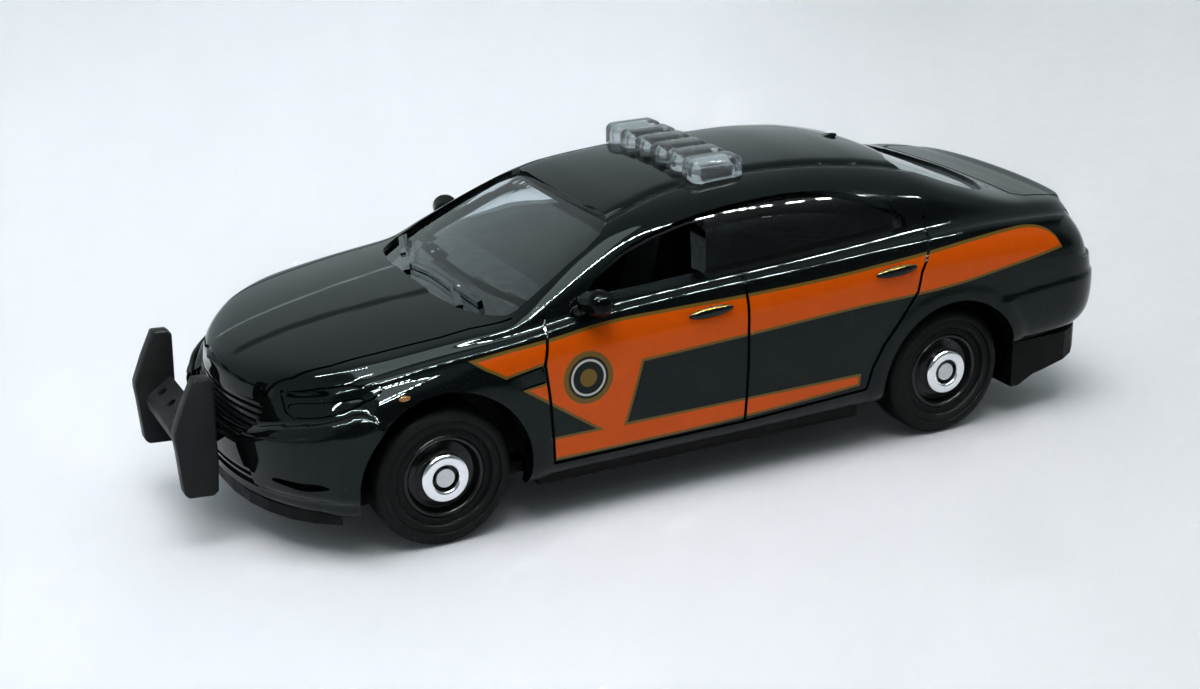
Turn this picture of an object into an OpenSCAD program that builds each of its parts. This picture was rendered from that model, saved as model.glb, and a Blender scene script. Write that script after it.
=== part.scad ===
// Toy police car: die-cast body, clear moulding, light bar, black base and push bar.
// Frame: +X forward, +Y to the car's left, +Z up, ground at z = 0, millimetres.

/* [Part] */
// which sub-part to draw

/* [Overall] */
// distance between the axle centres
wheelbase = 41; // [38:0.5:44]
// half the width over the doors
half_width = 14.3; // [13:0.1:15]
// height of the roof centre above the ground
roof_height = 21.45; // [20.5:0.05:22.5]
// forward reach of the nose
nose_reach = 33.4; // [32:0.1:34]
// rearward reach of the tail
tail_reach = 36.9; // [36:0.1:38]
// thickness of the die-cast shell
shell = 1.1; // [0.8:0.1:1.5]

/* [Openings] */
// room between a front tyre and its arch
arch_gap_front = 1.25; // [1:0.05:1.6]
// room between a rear tyre and its arch
arch_gap_rear = 1.1; // [1:0.05:1.5]
// depth of the door, bonnet and boot lines
line_depth = 0.3; // [0.2:0.05:0.5]
// width of the door, bonnet and boot lines
line_width = 0.3; // [0.2:0.05:0.5]

/* [Glazing] */
// gap between the shell and the clear moulding
glass_gap = 0.06; // [0.03:0.01:0.12]
// thickness of the clear moulding
glass_wall = 0.7; // [0.5:0.1:1]

/* [Light bar] */
// width of the bar across the roof
bar_width = 15.1; // [13:0.1:16]
// length of the bar along the car
bar_length = 4.2; // [3.5:0.1:5]
// height of the bar's top above the roof centre
bar_rise = 1.05; // [0.8:0.05:1.4]
// x of the bar's middle
bar_x = -4.2; // [-6:0.1:-2]
// number of lamp cells in the bar
bar_cells = 6; // [4:1:8]
// distance of a peg from the middle
bar_peg_y = 4.5; // [3:0.5:5.5]
// radius of the bar's pegs
bar_peg = 0.7; // [0.5:0.05:0.9]
// clearance round the bar's pegs and foot
bar_gap = 0.05; // [0.03:0.01:0.1]

/* [Wheels] */
// outer radius of a tyre
tyre_radius = 5; // [4.6:0.1:5.4]
// width of a tyre
tyre_width = 3.5; // [3:0.1:3.8]
// y of a tyre's outer face
tyre_face = 13.5; // [13.2:0.05:13.7]
// radius of the rim inside the tyre
rim_radius = 2.95; // [2.6:0.05:3.2]
// outer radius of the bright ring
ring_radius = 1.75; // [1.5:0.05:2]
// radius of the hole in the bright ring
ring_hole = 0.95; // [0.8:0.05:1.1]
// radius of an axle
axle_radius = 0.5; // [0.4:0.05:0.6]
// running clearance round an axle
axle_gap = 0.05; // [0.03:0.01:0.1]
// radius of the swaged head on an axle end
axle_head = 0.66; // [0.6:0.01:0.75]
// gap between parts seated in one another
seat_gap = 0.02; // [0.01:0.01:0.05]

/* [Base] */
// underside of the base plate above the ground
base_floor = 2.5; // [2.2:0.1:2.8]
// thickness of the base plate
base_wall = 0.85; // [0.8:0.05:1.2]
// depth of the relief in the underside
relief_depth = 0.3; // [0.2:0.05:0.4]
// gap between the base and the inside of a tyre
base_side_gap = 0.4; // [0.3:0.05:0.6]
// half width of the base between the wheels
base_wide = 12.4; // [12:0.1:12.4]
// x of the front fixing post
post_front = 28.5; // [27:0.5:29]
// x of the rear fixing post
post_rear = -31.5; // [-33:0.5:-30]
// radius of a fixing post
post_radius = 1.2; // [1:0.05:1.4]

/* [Push bar] */
// outer distance across the uprights
push_width = 12.1; // [11:0.1:13]
// thickness of an upright
push_plate = 1.15; // [0.9:0.05:1.4]
// distance between the holes in the cross member
push_hole_pitch = 2.45; // [2:0.05:2.6]
// radius of those holes
push_hole = 0.35; // [0.25:0.05:0.5]
// width of the tab that seats in the nose
push_tab_width = 6; // [4:0.5:7]
// how far the uprights stand ahead of the nose
push_ahead = 3.5; // [3.2:0.05:3.8]

/* [Hidden] */
$fn = 48;
xf = wheelbase / 2;
xr = -wheelbase / 2;
belt = 14;               // height above which the cabin grows with the roof
raise = roof_height - 21.45;
wide = half_width / 14.3;
bar_top = roof_height + bar_rise;
push_reach = nose_reach + push_ahead;
face = tyre_face * wide;
inner_face = face - tyre_width;
base_narrow = inner_face - base_side_gap;
arch_front = tyre_radius + arch_gap_front;
arch_rear = tyre_radius + arch_gap_rear;
arch_front_z = tyre_radius + 0.15;
arch_rear_z = tyre_radius - 0.1;
side_rail = 0.8;         // width of the base's side rails
tub_half = base_wide * wide - side_rail - 0.2;
tub_wall = 0.8;
glass_inset = shell + glass_gap;
cabin_inset = glass_inset + glass_wall + glass_gap + 0.15;
function lift(z) = z + raise * max(0, z - belt) / (21.45 - belt);
function lifted(P) = [for (p = P) [p[0], lift(p[1])]];

// ---- lengthwise design curves, nose first: [x, height or half width] ----
TOP = [[34.2, 9.8], [33.3, 11], [32.3, 11.8], [31, 12.35], [29, 13], [26, 13.7], [21, 14.5],
       [17.5, 14.9], [15.6, 15.15], [13, 16.35], [8, 18.75], [5, 20.05], [3, 20.6], [-1, 21.2],
       [-6, 21.5], [-11, 21.55], [-16, 21.2], [-19.5, 20.5], [-21.2, 19.95], [-24, 18.95],
       [-27.5, 17.55], [-29.5, 16.85], [-31, 16.65], [-34, 16.3], [-35, 15.8], [-36, 14.6]];
RAIL_Z = [[34.2, 9.1], [33, 10.6], [31, 11.8], [29, 12.5], [26, 13.1], [22, 13.65],
          [18, 14.15], [14.8, 14.5], [12, 16], [8, 18.3], [5, 19.6], [3, 20.1],
          [-1, 20.5], [-6, 20.75], [-11, 20.7], [-16, 20.3], [-19.5, 19.6], [-24, 18.1],
          [-27.5, 17], [-29.5, 16.6], [-31, 16.45], [-34, 16], [-35, 15.5], [-36, 14.3]];
RAIL_Y = [[34.2, 7.5], [31, 8.7], [29, 9.3], [26, 9.9], [22, 10.6], [18, 11], [14.8, 11.3],
          [12, 11], [8, 9.95], [5, 9.4], [0, 9], [-6, 8.75], [-12, 8.5], [-17, 8.6],
          [-22, 9.4], [-27, 9.9], [-30, 9.6], [-36, 9.2]];
BELT_Y = [[34.2, 9.6], [30, 10.2], [27, 11], [24, 11.6], [20, 12], [15, 12.3], [10, 12.35],
          [0, 12.3], [-10, 12.2], [-18, 12], [-24, 11.8], [-30, 11.5], [-36, 11.1]];
BELT_Z = [[34.2, 8.4], [32, 9.9], [30, 11], [28, 11.9], [26, 12.4], [24, 12.8], [20, 13.3],
          [15, 13.75], [10, 14.5], [0, 15.2], [-8, 15.5], [-16, 15.9], [-24, 16.2],
          [-30, 16], [-34, 15.3], [-36, 13.9]];
SHOULDER_Y = [[34.2, 11.5], [30, 12.2], [26, 13], [22, 13.5], [14, 13.65], [8, 13.5],
              [-10, 13.6], [-20, 13.7], [-30, 13.4], [-36, 13]];
SHOULDER_Z = [[34.2, 7.2], [32, 8.7], [30, 9.9], [28, 10.9], [26, 11.5], [24, 11.95],
              [20, 12.6], [15, 13.15], [10, 13.75], [0, 14.2], [-8, 14.5], [-16, 14.9],
              [-24, 15.1], [-30, 14.8], [-34, 14.2], [-36, 13]];
SIDE_Y = [[34.2, 13.6], [26, 14.2], [10, 14.25], [-10, 14.3], [-25, 14.4], [-36, 14]];
SILL_Y = [[34.2, 12.8], [26, 13.9], [12, 13.9], [-12, 13.9], [-28, 13.8], [-36, 13]];
SILL_Z = [[34.2, 3.4], [26, 3.4], [12, 3.5], [xr + 7.5, 3.75], [xr + 4.5, 4.1], [xr - 5, 6.2],
          [xr - 8.5, 6.3], [-36, 6.45]];
// reach of each level at the nose and tail, sill first, less the overall reach
NOSE = [-1, -0.6, -0.2, 0, -0.3, -0.7, -0.9, -1, -1, -0.9, -0.8];
TAIL = [1.1, 0.8, 0.1, 0, 0.3, 0.9, 1.5, 1.6, 1.6, 1.5, 1.5];
nose_start = 24;
tail_start = -30;

function secant(K, i) = (K[i + 1][1] - K[i][1]) / (K[i + 1][0] - K[i][0]);
function slope(K, i) =
    i == 0 ? secant(K, 0) :
    i == len(K) - 1 ? secant(K, i - 1) :
    let (a = secant(K, i - 1), b = secant(K, i),
         g = K[i][0] - K[i - 1][0], h = K[i + 1][0] - K[i][0])
    a * b <= 0 ? 0 : 3 * (g + h) / ((2 * h + g) / a + (h + 2 * g) / b);
function span(K, x, i = 0) = i >= len(K) - 2 || x >= K[i + 1][0] ? i : span(K, x, i + 1);
function curve(K, x) =
    let (n = len(K) - 1)
    x > K[0][0] ? K[0][1] + (x - K[0][0]) * secant(K, 0) :
    x < K[n][0] ? K[n][1] + (x - K[n][0]) * secant(K, n - 1) :
    let (i = span(K, x), h = K[i + 1][0] - K[i][0], t = (x - K[i][0]) / h)
    (2 * t * t * t - 3 * t * t + 1) * K[i][1] + (t * t * t - 2 * t * t + t) * h * slope(K, i)
    + (3 * t * t - 2 * t * t * t) * K[i + 1][1] + (t * t * t - t * t) * h * slope(K, i + 1);

// half section at x, sill to roof centre, drawn in by w
function section(x, w) =
    let (m = curve(SIDE_Y, x), s = curve(SILL_Y, x), sz = curve(SILL_Z, x),
         hy = curve(SHOULDER_Y, x), hz = curve(SHOULDER_Z, x),
         by = curve(BELT_Y, x), bz = curve(BELT_Z, x),
         ry = curve(RAIL_Y, x), rz = curve(RAIL_Z, x), tz = curve(TOP, x),
         e = w > 0 ? w + 0.1 : w)
    [[s - (w > 0 ? e : 0.7), sz], [s - e, sz + 0.5], [m - 0.15 - e, 0.55 * sz + 4.2],
     [m - e, 0.3 * sz + 8.2], [m - 0.1 - e, hz - 1.6 - 0.3 * w], [hy - e, hz - 0.5 * w],
     [by - e, bz - 0.7 * w], [(by + ry) / 2 + 0.35 - e, (bz + rz) / 2 + 0.15 - 0.7 * w],
     [ry - 0.9 * w, rz - w], [0.55 * ry - 0.5 * w, tz - 0.22 * (tz - rz) - w], [0, tz - w]];
function station(x0, reach, c, s, w) =
    [for (k = [0:10]) let (x = x0 + (reach[k] - x0) * c, p = section(x, w)[k])
        [x, p[0] * s * wide, lift(p[1])]];
// smooth run through a station's levels
function levels(P, q) =
    let (a = 2 * P[0] - P[1], b = [P[9][0], -P[9][1], P[9][2]],
         E = concat([a], P, [b]))
    concat([for (k = [0:9]) for (j = [0:q - 1]) let (t = j / q)
        (pow(1 - t, 3) * E[k] + (3 * t * t * t - 6 * t * t + 4) * E[k + 1]
         + (3 * t + 3 * t * t - 3 * t * t * t + 1) * E[k + 2] + t * t * t * E[k + 3]) / 6],
        [(E[10] + 4 * E[11] + E[12]) / 6]);
function nose_at(w) = [for (v = NOSE) nose_reach + v - w];
function tail_at(w) = [for (v = TAIL) -tail_reach + v + w];
function stations(w, q, low) =
    let (N = nose_at(w), T = tail_at(w), n = 6, m = 27,
         all = concat(
             [for (i = [0:n - 1]) let (a = 6 + 84 * i / n)
                 station(nose_start, N, pow(cos(a), 0.9), pow(sin(a), 0.9), w)],
             [for (i = [0:m]) let (x = nose_start + (tail_start - nose_start) * i / m)
                 station(x, N, 0, 1, w)],
             [for (i = [1:n]) let (a = 90 - 84 * i / n)
                 station(tail_start, T, pow(cos(a), 0.62), pow(sin(a), 0.62), w)]))
    [for (S = all) let (L = levels(S, q))
        low == 0 ? L : concat([[L[0][0], L[0][1], low]], L)];

// closed solid inside the body surface, drawn in by w, reaching down to low
module skin(w = 0, low = 0, q = 2) {
    S = stations(w, q, low);
    h = len(S[0]) - 1;
    r = 2 * h + 1;
    n = len(S);
    pts = [for (L = S) each concat(L, [for (j = [h - 1:-1:0]) [L[j][0], -L[j][1], L[j][2]]])];
    sides = [for (i = [0:n - 2]) for (j = [0:r - 1]) let (k = (j + 1) % r)
        each [[i * r + j, i * r + k, i * r + r + k], [i * r + j, i * r + r + k, i * r + r + j]]];
    caps = [for (j = [0:h - 1]) let (a = 2 * h - j, z = (n - 1) * r)
        each concat(
            j == h - 1 ? [[j, a, h]] : [[j, a, a - 1], [j, a - 1, j + 1]],
            j == h - 1 ? [[z + j, z + h, z + a]]
                       : [[z + j, z + a - 1, z + a], [z + j, z + j + 1, z + a - 1]])];
    polyhedron(pts, concat(sides, caps), convexity = 8);
}

// ---- shared shapes ----
module both_sides() { children(); mirror([0, 1, 0]) children(); }
module across(z0 = 0) { rotate([90, 0, 0]) linear_extrude(40, center = true) children(); }
module side_prism(y0 = 6, y1 = 20) {
    translate([0, y1, 0]) rotate([90, 0, 0]) linear_extrude(y1 - y0) children();
}

// side opening of the shell, from the door mirror to the tail of the rear door
module side_window(d = 0) offset(delta = -d)
    polygon(lifted([[9.6, 15.1], [6.6, 15.1], [-0.5, 15.45], [-8, 15.8], [-12, 16], [-17.2, 16.2],
                    [-17.9, 16.8], [-16.9, 17.9], [-15.2, 18.7], [-13.4, 19.25], [-11.1, 19.65],
                    [-7.6, 19.8], [-4, 19.7], [-2, 19.5], [0.2, 19.25], [2.7, 18.8], [5.2, 18.1],
                    [7.6, 16.9]]));
// open front part of it, below the clear strip and ahead of the clear post
module front_window()
    polygon(lifted([[10.5, 14.6], [-0.6, 14.6], [-0.6, 15.45], [-1.7, 18.85], [0.2, 18.7],
                    [2.7, 18.25], [5.2, 17.55], [7.6, 16.4], [9.2, 15.5]]));
module windscreen(d = 0) offset(delta = -d) scale([1, wide])
    polygon([[14, -11], [15.3, -9.8], [16.4, -8.3], [17.2, -4.6], [17.4, 0], [17.2, 4.6],
             [16.4, 8.3], [15.3, 9.8], [14, 11], [5, 8.95], [5.5, 4], [5.6, 0], [5.5, -4],
             [5, -8.95]]);
module backlight(d = 0) offset(delta = -d) scale([1, wide])
    polygon([[-18.9, 7.2], [-20.6, 3.6], [-21.2, 0], [-20.6, -3.6], [-18.9, -7.2],
             [-26.4, -9.7], [-28.6, -5], [-29.4, 0], [-28.6, 5], [-26.4, 9.7]]);
module openings(d = 0) {
    both_sides() side_prism() side_window(d);
    translate([0, 0, 12]) linear_extrude(roof_height) { windscreen(d); backlight(d); }
}

// thin sheets that mark the door, bonnet and boot lines
module door_line(x0, z0, x1, z1) {
    l = norm([x1 - x0, z1 - z0]);
    translate([x0, 0, z0]) rotate([0, -atan2(z1 - z0, x1 - x0), 0])
        translate([-line_width / 4, 0, -line_width / 2]) cube([l + line_width / 2, 18, line_width]);
}
module panel_lines() {
    both_sides() {
        door_line(12.7, 4.4, 12.7, 15);
        door_line(12.7, 4.4, -13, 5);
        door_line(-2.5, 4.7, -2.9, 15);
        door_line(-13, 5, -15.5, 9.7);
        door_line(-15.5, 9.7, -17.1, 12.3);
        door_line(-17.1, 12.3, -19.3, 16.6);
        translate([14.5, 10.7, 11]) rotate([0, 0, -7]) cube([17, line_width, 8]);
        translate([-36, 9.1, 14]) cube([8, line_width, 5]);
    }
    translate([31.6, -9, 10]) cube([line_width, 18, 5]);
    translate([-29.9, -9.2, 14]) cube([line_width, 18.4, 5]);
}

module mirror_cap() {
    translate([0, (wide - 1) * 12.6, 0]) hull() {
        translate([8.9, 13.9, 15.6]) scale([1, 1.1, 0.95]) sphere(1, $fn = 16);
        translate([9.3, 13.1, 15.4]) sphere(0.85, $fn = 16);
        translate([9.9, 12.5, 14.7]) sphere(0.5, $fn = 10);
    }
}
handle_radius = 0.35;
handle_length = 3.4;
module handle(x, z) {
    translate([0, 13.75 * wide, 0]) hull() {
        translate([x, 0, z]) sphere(handle_radius, $fn = 8);
        translate([x - handle_length, 0, z + 0.2]) sphere(handle_radius, $fn = 8);
    }
}
module peg_holes() {
    for (s = [-1, 1]) translate([bar_x, s * bar_peg_y, roof_height - 3.5])
        cylinder(r = bar_peg + bar_gap, h = 6, $fn = 24);
}
module arch(x, z, radius) {
    translate([x, 20, z]) rotate([90, 0, 0]) cylinder(r = radius, h = 20 - inner_face + 2, $fn = 40);
}
// shallow hollows of the head lamps, grille and lower intake
module hollow(depth) {
    intersection() {
        difference() {
            skin(-0.5);
            skin(depth, 1, 1);
        }
        children();
    }
}
module lamp_recess() hollow(0.5) side_prism(7.4, 20)
    polygon([[30, 9.8], [30, 11.15], [27.8, 11.78], [26.4, 12.06], [24.6, 12.2], [24.3, 12],
             [26.2, 10.92], [28.4, 10.1], [29.5, 9.8]]);
module grille_recess() {
    hollow(0.6) translate([30, -6.6, 7.4]) cube([6, 13.2, 2.9]);
    hollow(0.6) translate([30, -7.6, 4.2]) cube([6, 15.2, 1.8]);
}

// ---- sub-parts ----
module body_casting() {
    color("#0b0d0f") resize([0, 0, 0]) {
        difference() {
            skin(0);
            skin(shell, -2, 1);
            openings();
            both_sides() lamp_recess();
            grille_recess();
            push_tab(seat_gap);
            both_sides() {
                arch(xf, arch_front_z, arch_front);
                arch(xr, arch_rear_z, arch_rear);
            }
            intersection() {
                difference() { skin(-0.5); skin(line_depth, 1); }
                panel_lines();
            }
            peg_holes();
        }
        both_sides() {
            mirror_cap();
            handle(1.9, 13.6);
            handle(-13.6, 14.1);
        }
        translate([post_front, 0, base_floor]) cylinder(r = post_radius, h = 9.8, $fn = 28);
        translate([post_rear, 0, base_floor])
            cylinder(r = post_radius, h = lift(15.9) - base_floor, $fn = 28);
    }
}

glass_proud = 0.25;      // how far the panes lie below the outer surface
module window_moulding() {
    color([0.75, 0.8, 0.82, 0.45]) resize([0, 0, 0]) {
        difference() {
            intersection() {
                union() {
                    difference() {
                        skin(glass_inset, 1, 1);
                        skin(glass_inset + glass_wall, -2, 1);
                    }
                    intersection() {
                        difference() { skin(glass_proud); skin(glass_inset + 0.2, -2, 1); }
                        openings(glass_gap);
                    }
                }
                union() {
                    translate([-30.1, -9.6 * wide, 14.3]) cube([48.6, 19.2 * wide, roof_height]);
                    translate([-18.9, -14, lift(15.1)]) cube([29.5, 28, roof_height]);
                }
            }
            both_sides() side_prism() front_window();
            peg_holes();
        }
    }
}

bar_depth = 3;           // the roof is cut away from the bar's lower part
bar_bevel = 0.33;
bar_bevel_z = 0.6;
module light_bar() {
    w = bar_width / bar_cells;
    color([0.72, 0.76, 0.78, 0.6]) resize([0, 0, 0]) {
        difference() {
            union() {
                translate([bar_x - bar_length / 2 + 0.3, 0.1 - bar_width / 2, bar_top - bar_depth])
                    cube([bar_length - 0.6, bar_width - 0.2, bar_depth - 0.5]);
                for (i = [0:bar_cells - 1])
                    translate([bar_x, w * (i + 0.5) - bar_width / 2, bar_top - bar_depth]) hull() {
                        translate([-bar_length / 2, 0.1 - w / 2, 0])
                            cube([bar_length, w - 0.2, bar_depth - bar_bevel_z]);
                        translate([bar_bevel - bar_length / 2, bar_bevel - w / 2, 0])
                            cube([bar_length - 2 * bar_bevel, w - 2 * bar_bevel, bar_depth]);
                    }
            }
            skin(-bar_gap);
        }
        for (s = [-1, 1]) translate([bar_x, s * bar_peg_y, bar_top - bar_depth - 0.2])
            cylinder(r = bar_peg, h = bar_depth - 0.3, $fn = 24);
    }
}

seat_width = 4.8;
seat_y = 5.2;
bench_half = 9.3;
floor_z = 4.2;
floor_wall = 0.8;
floor_front = xf - 6.9;
floor_rear = xr + 7.9;
module seat(y) {
    narrow = seat_width - 0.6;
    head = seat_width / 2;
    translate([0, y, 0]) {
        hull() {
            translate([-4.2, -seat_width / 2, 6.6]) cube([6, seat_width, 1.2]);
            translate([-4.2, -narrow / 2, floor_z + 0.6]) cube([6, narrow, 3.4]);
        }
        hull() {
            translate([-4.4, -seat_width / 2, 7]) cube([1.3, seat_width, 1]);
            translate([-6.1, -narrow / 2, 13.4]) cube([1.1, narrow, 1]);
        }
        hull() {
            translate([-6.2, -head / 2, 14.3]) cube([1, head, 0.4]);
            translate([-6.4, -head / 2, 15.8]) cube([0.9, head - 0.2, 0.4]);
        }
    }
}
module tub() {
    depth = 9.3;
    inner = tub_half - tub_wall;
    difference() {
        translate([floor_rear, -tub_half, floor_z])
            cube([floor_front - floor_rear, 2 * tub_half, depth]);
        translate([floor_rear + 0.6, -inner, floor_z + floor_wall])
            cube([floor_front - floor_rear - 4.2, 2 * inner, depth + 2]);
    }
    translate([floor_front - 4.4, -inner, floor_z + floor_wall]) cube([4.4, 2 * inner, 8.9]);
}
module rear_bench() {
    hull() {
        translate([-19.4, -bench_half, 10.6]) cube([19.4 + floor_rear + 0.6, 2 * bench_half, 1]);
        translate([-18.8, -bench_half, 10.6]) cube([18.8 + floor_rear + 0.7, 2 * bench_half, 1.8]);
    }
    hull() {
        translate([-19.8, -bench_half, 10.8]) cube([2, 2 * bench_half, 1]);
        translate([-21.2, -bench_half, lift(15.2)]) cube([1.2, 2 * bench_half, 0.6]);
    }
    translate([-26, -9, lift(14.9)]) cube([5.6, 18, 0.7]);
}
wheel_radius = 2.2;
wheel_rake = 62;
module steering_wheel() {
    translate([6.8, seat_y, 12.1]) rotate([0, -wheel_rake, 0]) {
        difference() {
            cylinder(r = wheel_radius, h = 0.6, $fn = 28);
            translate([0, 0, -1]) cylinder(r = wheel_radius - 0.45, h = 3, $fn = 28);
        }
        translate([0.2 - wheel_radius, -0.3, 0.1]) cube([2 * wheel_radius - 0.4, 0.6, 0.4]);
        translate([0, 0, -3.2]) cylinder(r = 0.5, h = 3.6, $fn = 14);
    }
}
module interior() {
    color("#17191b") resize([0, 0, 0]) intersection() {
        union() {
            tub();
            seat(seat_y);
            seat(-seat_y);
            rear_bench();
            steering_wheel();
        }
        skin(cabin_inset, 1, 1);
    }
}

function nose_plan(w) = [for (i = [0:16])
    let (a = -90 + 180 * i / 16, reach = nose_reach - 0.9 - w - nose_start)
    [nose_start + reach * pow(cos(a), 0.9), sign(a) * (12.9 - w) * wide * pow(abs(sin(a)), 0.9)]];
function tail_plan(w) = [for (i = [0:16])
    let (a = -90 + 180 * i / 16, reach = -tail_reach + 1.1 + w - tail_start)
    [tail_start + reach * pow(cos(a), 0.62), sign(-a) * (13.4 - w) * wide * pow(abs(sin(a)), 0.62)]];
// grooves and pockets moulded in the underside: floor ribs, exhaust run and silencer, fuel tank
groove = 0.5;
module frame_groove(x, y, length, width) {
    translate([x, y]) difference() {
        square([length, width]);
        translate([groove, groove]) square([length - 2 * groove, width - 2 * groove]);
    }
}
module underside_relief() {
    translate([0, 0, base_floor - 1]) linear_extrude(1 + relief_depth) {
        for (y = [-9.5, -6.5, 6.5, 9.5]) translate([-11, y]) square([22, groove]);
        for (y = [2.3, 3.6]) translate([-12, y]) square([26, groove]);
        frame_groove(-17.5, 1.4, 5, 3.6);
        frame_groove(-17, -7.5, 6, 6.5);
        frame_groove(24.5, -5, 1.6, 10);
    }
}
valance_front = xr - 6.4;
valance_top = 6.15;
// moulded tray under the tail, rising to the rear
module valance() {
    z = base_floor;
    intersection() {
        linear_extrude(valance_top + 2) polygon(tail_side(0.1));
        difference() {
            across() polygon([[valance_front, z], [valance_front, valance_top], [-38, valance_top],
                              [-38, z + 2.7], [-34, z + 1.7], [-29, z + 0.7], [-27.6, z]]);
            intersection() {
                across() polygon([[valance_front + 0.9, z + 0.9], [valance_front + 0.9, 9], [-38, 9],
                                  [-38, z + 3.5], [-34, z + 2.5], [-29, z + 1.5], [-27.6, z + 0.9]]);
                linear_extrude(9) polygon(tail_side(1));
            }
        }
    }
}
function tail_side(w) = concat(tail_plan(w), [[valance_front + 0.5, (w - 13.4) * wide],
                                              [valance_front + 0.5, (13.4 - w) * wide]]);
boss_length = 3.2;
module base_plate() {
    rail_height = 2.4;
    middle = xf - 7.3;
    half = base_wide * wide;
    color("#131415") difference() {
        union() {
            translate([xr - 7.2, -base_narrow, base_floor])
                cube([wheelbase + 14.4, 2 * base_narrow, base_wall]);
            translate([-middle, -half, base_floor]) cube([2 * middle, 2 * half, base_wall]);
            both_sides() translate([-middle, half - side_rail, base_floor])
                cube([2 * middle, side_rail, rail_height]);
            translate([0, 0, base_floor]) linear_extrude(base_wall) intersection() {
                polygon(concat(nose_plan(0.1), [[nose_start, 12.8 * wide], [nose_start, -12.8 * wide]]));
                translate([xf + 6.9, -20]) square([20, 40]);
            }
            valance();
            for (x = [xf, xr]) translate([x - boss_length / 2, -base_narrow, base_floor])
                cube([boss_length, 2 * base_narrow, tyre_radius + 1.4 - base_floor]);
        }
        for (x = [xf, xr]) translate([x, 0, tyre_radius]) rotate([90, 0, 0])
            cylinder(r = axle_radius + seat_gap, h = 40, center = true);
        underside_relief();
        for (x = [post_front, post_rear]) translate([x, 0, 0])
            cylinder(r = post_radius + seat_gap, h = 20, center = true);
    }
}

// side outline of an upright: [x back from the reach, z]
push_outline = [[-1.75, 12.32], [-2.8, 12.23], [-3.1, 11.95], [-2.95, 7.5], [-2.95, 6.3],
                [-2.75, 4.05], [-2.4, 3.8], [-0.7, 3.92], [-0.4, 4.23], [-0.2, 7.3], [-0.1, 8.2],
                [-0.12, 8.7], [-0.86, 10.5]];
push_inner = push_width - 2 * push_plate;
module push_tab(d = 0) {
    translate([push_reach - 5.4, -push_tab_width / 2 - d, 6.4 - d])
        cube([4, push_tab_width + 2 * d, 1 + 2 * d]);
}
module push_bar() {
    color("#1b1d1f") {
        both_sides() translate([push_reach, push_width / 2, 0]) rotate([90, 0, 0])
            linear_extrude(push_plate) polygon(push_outline);
        difference() {
            translate([push_reach, push_inner / 2, 0]) rotate([90, 0, 0]) linear_extrude(push_inner)
                polygon([[-0.7, 7.5], [-2.75, 8.9], [-2.9, 8], [-2.2, 6.2], [-0.8, 6.7]]);
            for (i = [-1.5:1:1.5]) translate([push_reach - 1.75, i * push_hole_pitch, 8.15])
                rotate([0, 34, 0]) cylinder(r = push_hole, h = 2, center = true);
        }
        push_tab();
    }
}

module axle(x) {
    color("#c9ccce") translate([x, 0, tyre_radius]) rotate([90, 0, 0]) {
        cylinder(r = axle_radius, h = 2 * face - 0.2, center = true);
        for (s = [-1, 1]) translate([0, 0, s * (face - 0.2)])
            cylinder(r = axle_head, h = 0.3, center = true);
    }
}
module front_axle() { axle(xf); }
module rear_axle() { axle(xr); }

// turned about Y: points are [radius, y] with the outer face at +Y
module turned(x, side) {
    translate([x, 0, tyre_radius]) mirror([0, side < 0 ? 1 : 0, 0])
        rotate([-90, 0, 0]) rotate_extrude($fn = 64) children();
}
rim_seat = rim_radius + seat_gap;
wall_radius = 4.4;       // where the side walls of a tyre are widest
step_radius = 3.5;       // inner edge of the raised band on the side wall
module tyre(x, side) {
    color("#16181a") turned(x, side) polygon([
        [rim_seat, inner_face + 0.2], [wall_radius, inner_face],
        [tyre_radius - 0.15, inner_face + 0.25], [tyre_radius, inner_face + 0.7],
        [tyre_radius, face - 0.75], [tyre_radius - 0.18, face - 0.3], [wall_radius, face - 0.05],
        [wall_radius - 0.3, face], [wall_radius - 0.3, face - 0.15], [step_radius, face - 0.1],
        [step_radius, face - 0.3], [rim_seat, face - 0.25]]);
}
bore = axle_radius + axle_gap;
ring_foot = ring_radius - 0.4;
module rim(x, side) {
    color("#0a0a0b") turned(x, side) polygon([
        [bore, inner_face + 0.15], [bore + 0.65, inner_face + 0.15], [bore + 0.65, inner_face + 0.9],
        [rim_radius, inner_face + 0.9], [rim_radius, face - 0.3], [rim_radius - 0.2, face - 0.25],
        [rim_radius - 0.35, face - 0.9], [ring_radius + seat_gap, face - 1.1],
        [ring_foot, face - 1.1], [ring_foot, face - 0.6], [bore, face - 0.6]]);
}
module ring(x, side) {
    color("#e6e8ea") turned(x, side) polygon([
        [ring_foot + seat_gap, face - 1.05], [ring_radius, face - 1.05],
        [ring_radius, face - 0.1], [ring_radius - 0.25, face + 0.15],
        [ring_hole + 0.15, face + 0.15], [ring_hole, face], [ring_hole, face - 0.55],
        [ring_foot + seat_gap, face - 0.55]]);
}

body_casting();
window_moulding();
light_bar();
interior();
base_plate();
push_bar();
front_axle();
rear_axle();
tyre(xf, 1);  // tyre_front_left
tyre(xf, -1);  // tyre_front_right
tyre(xr, 1);  // tyre_rear_left
tyre(xr, -1);  // tyre_rear_right
rim(xf, 1);  // rim_front_left
rim(xf, -1);  // rim_front_right
rim(xr, 1);  // rim_rear_left
rim(xr, -1);  // rim_rear_right
ring(xf, 1);  // ring_front_left
ring(xf, -1);  // ring_front_right
ring(xr, 1);  // ring_rear_left
ring(xr, -1);  // ring_rear_right
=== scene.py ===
"""Looks of the toy police car: paint, glass, lamps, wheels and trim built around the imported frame."""

import math

import bmesh
import bpy
import numpy as np
from mathutils import Matrix, Vector
from mathutils.bvhtree import BVHTree


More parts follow.
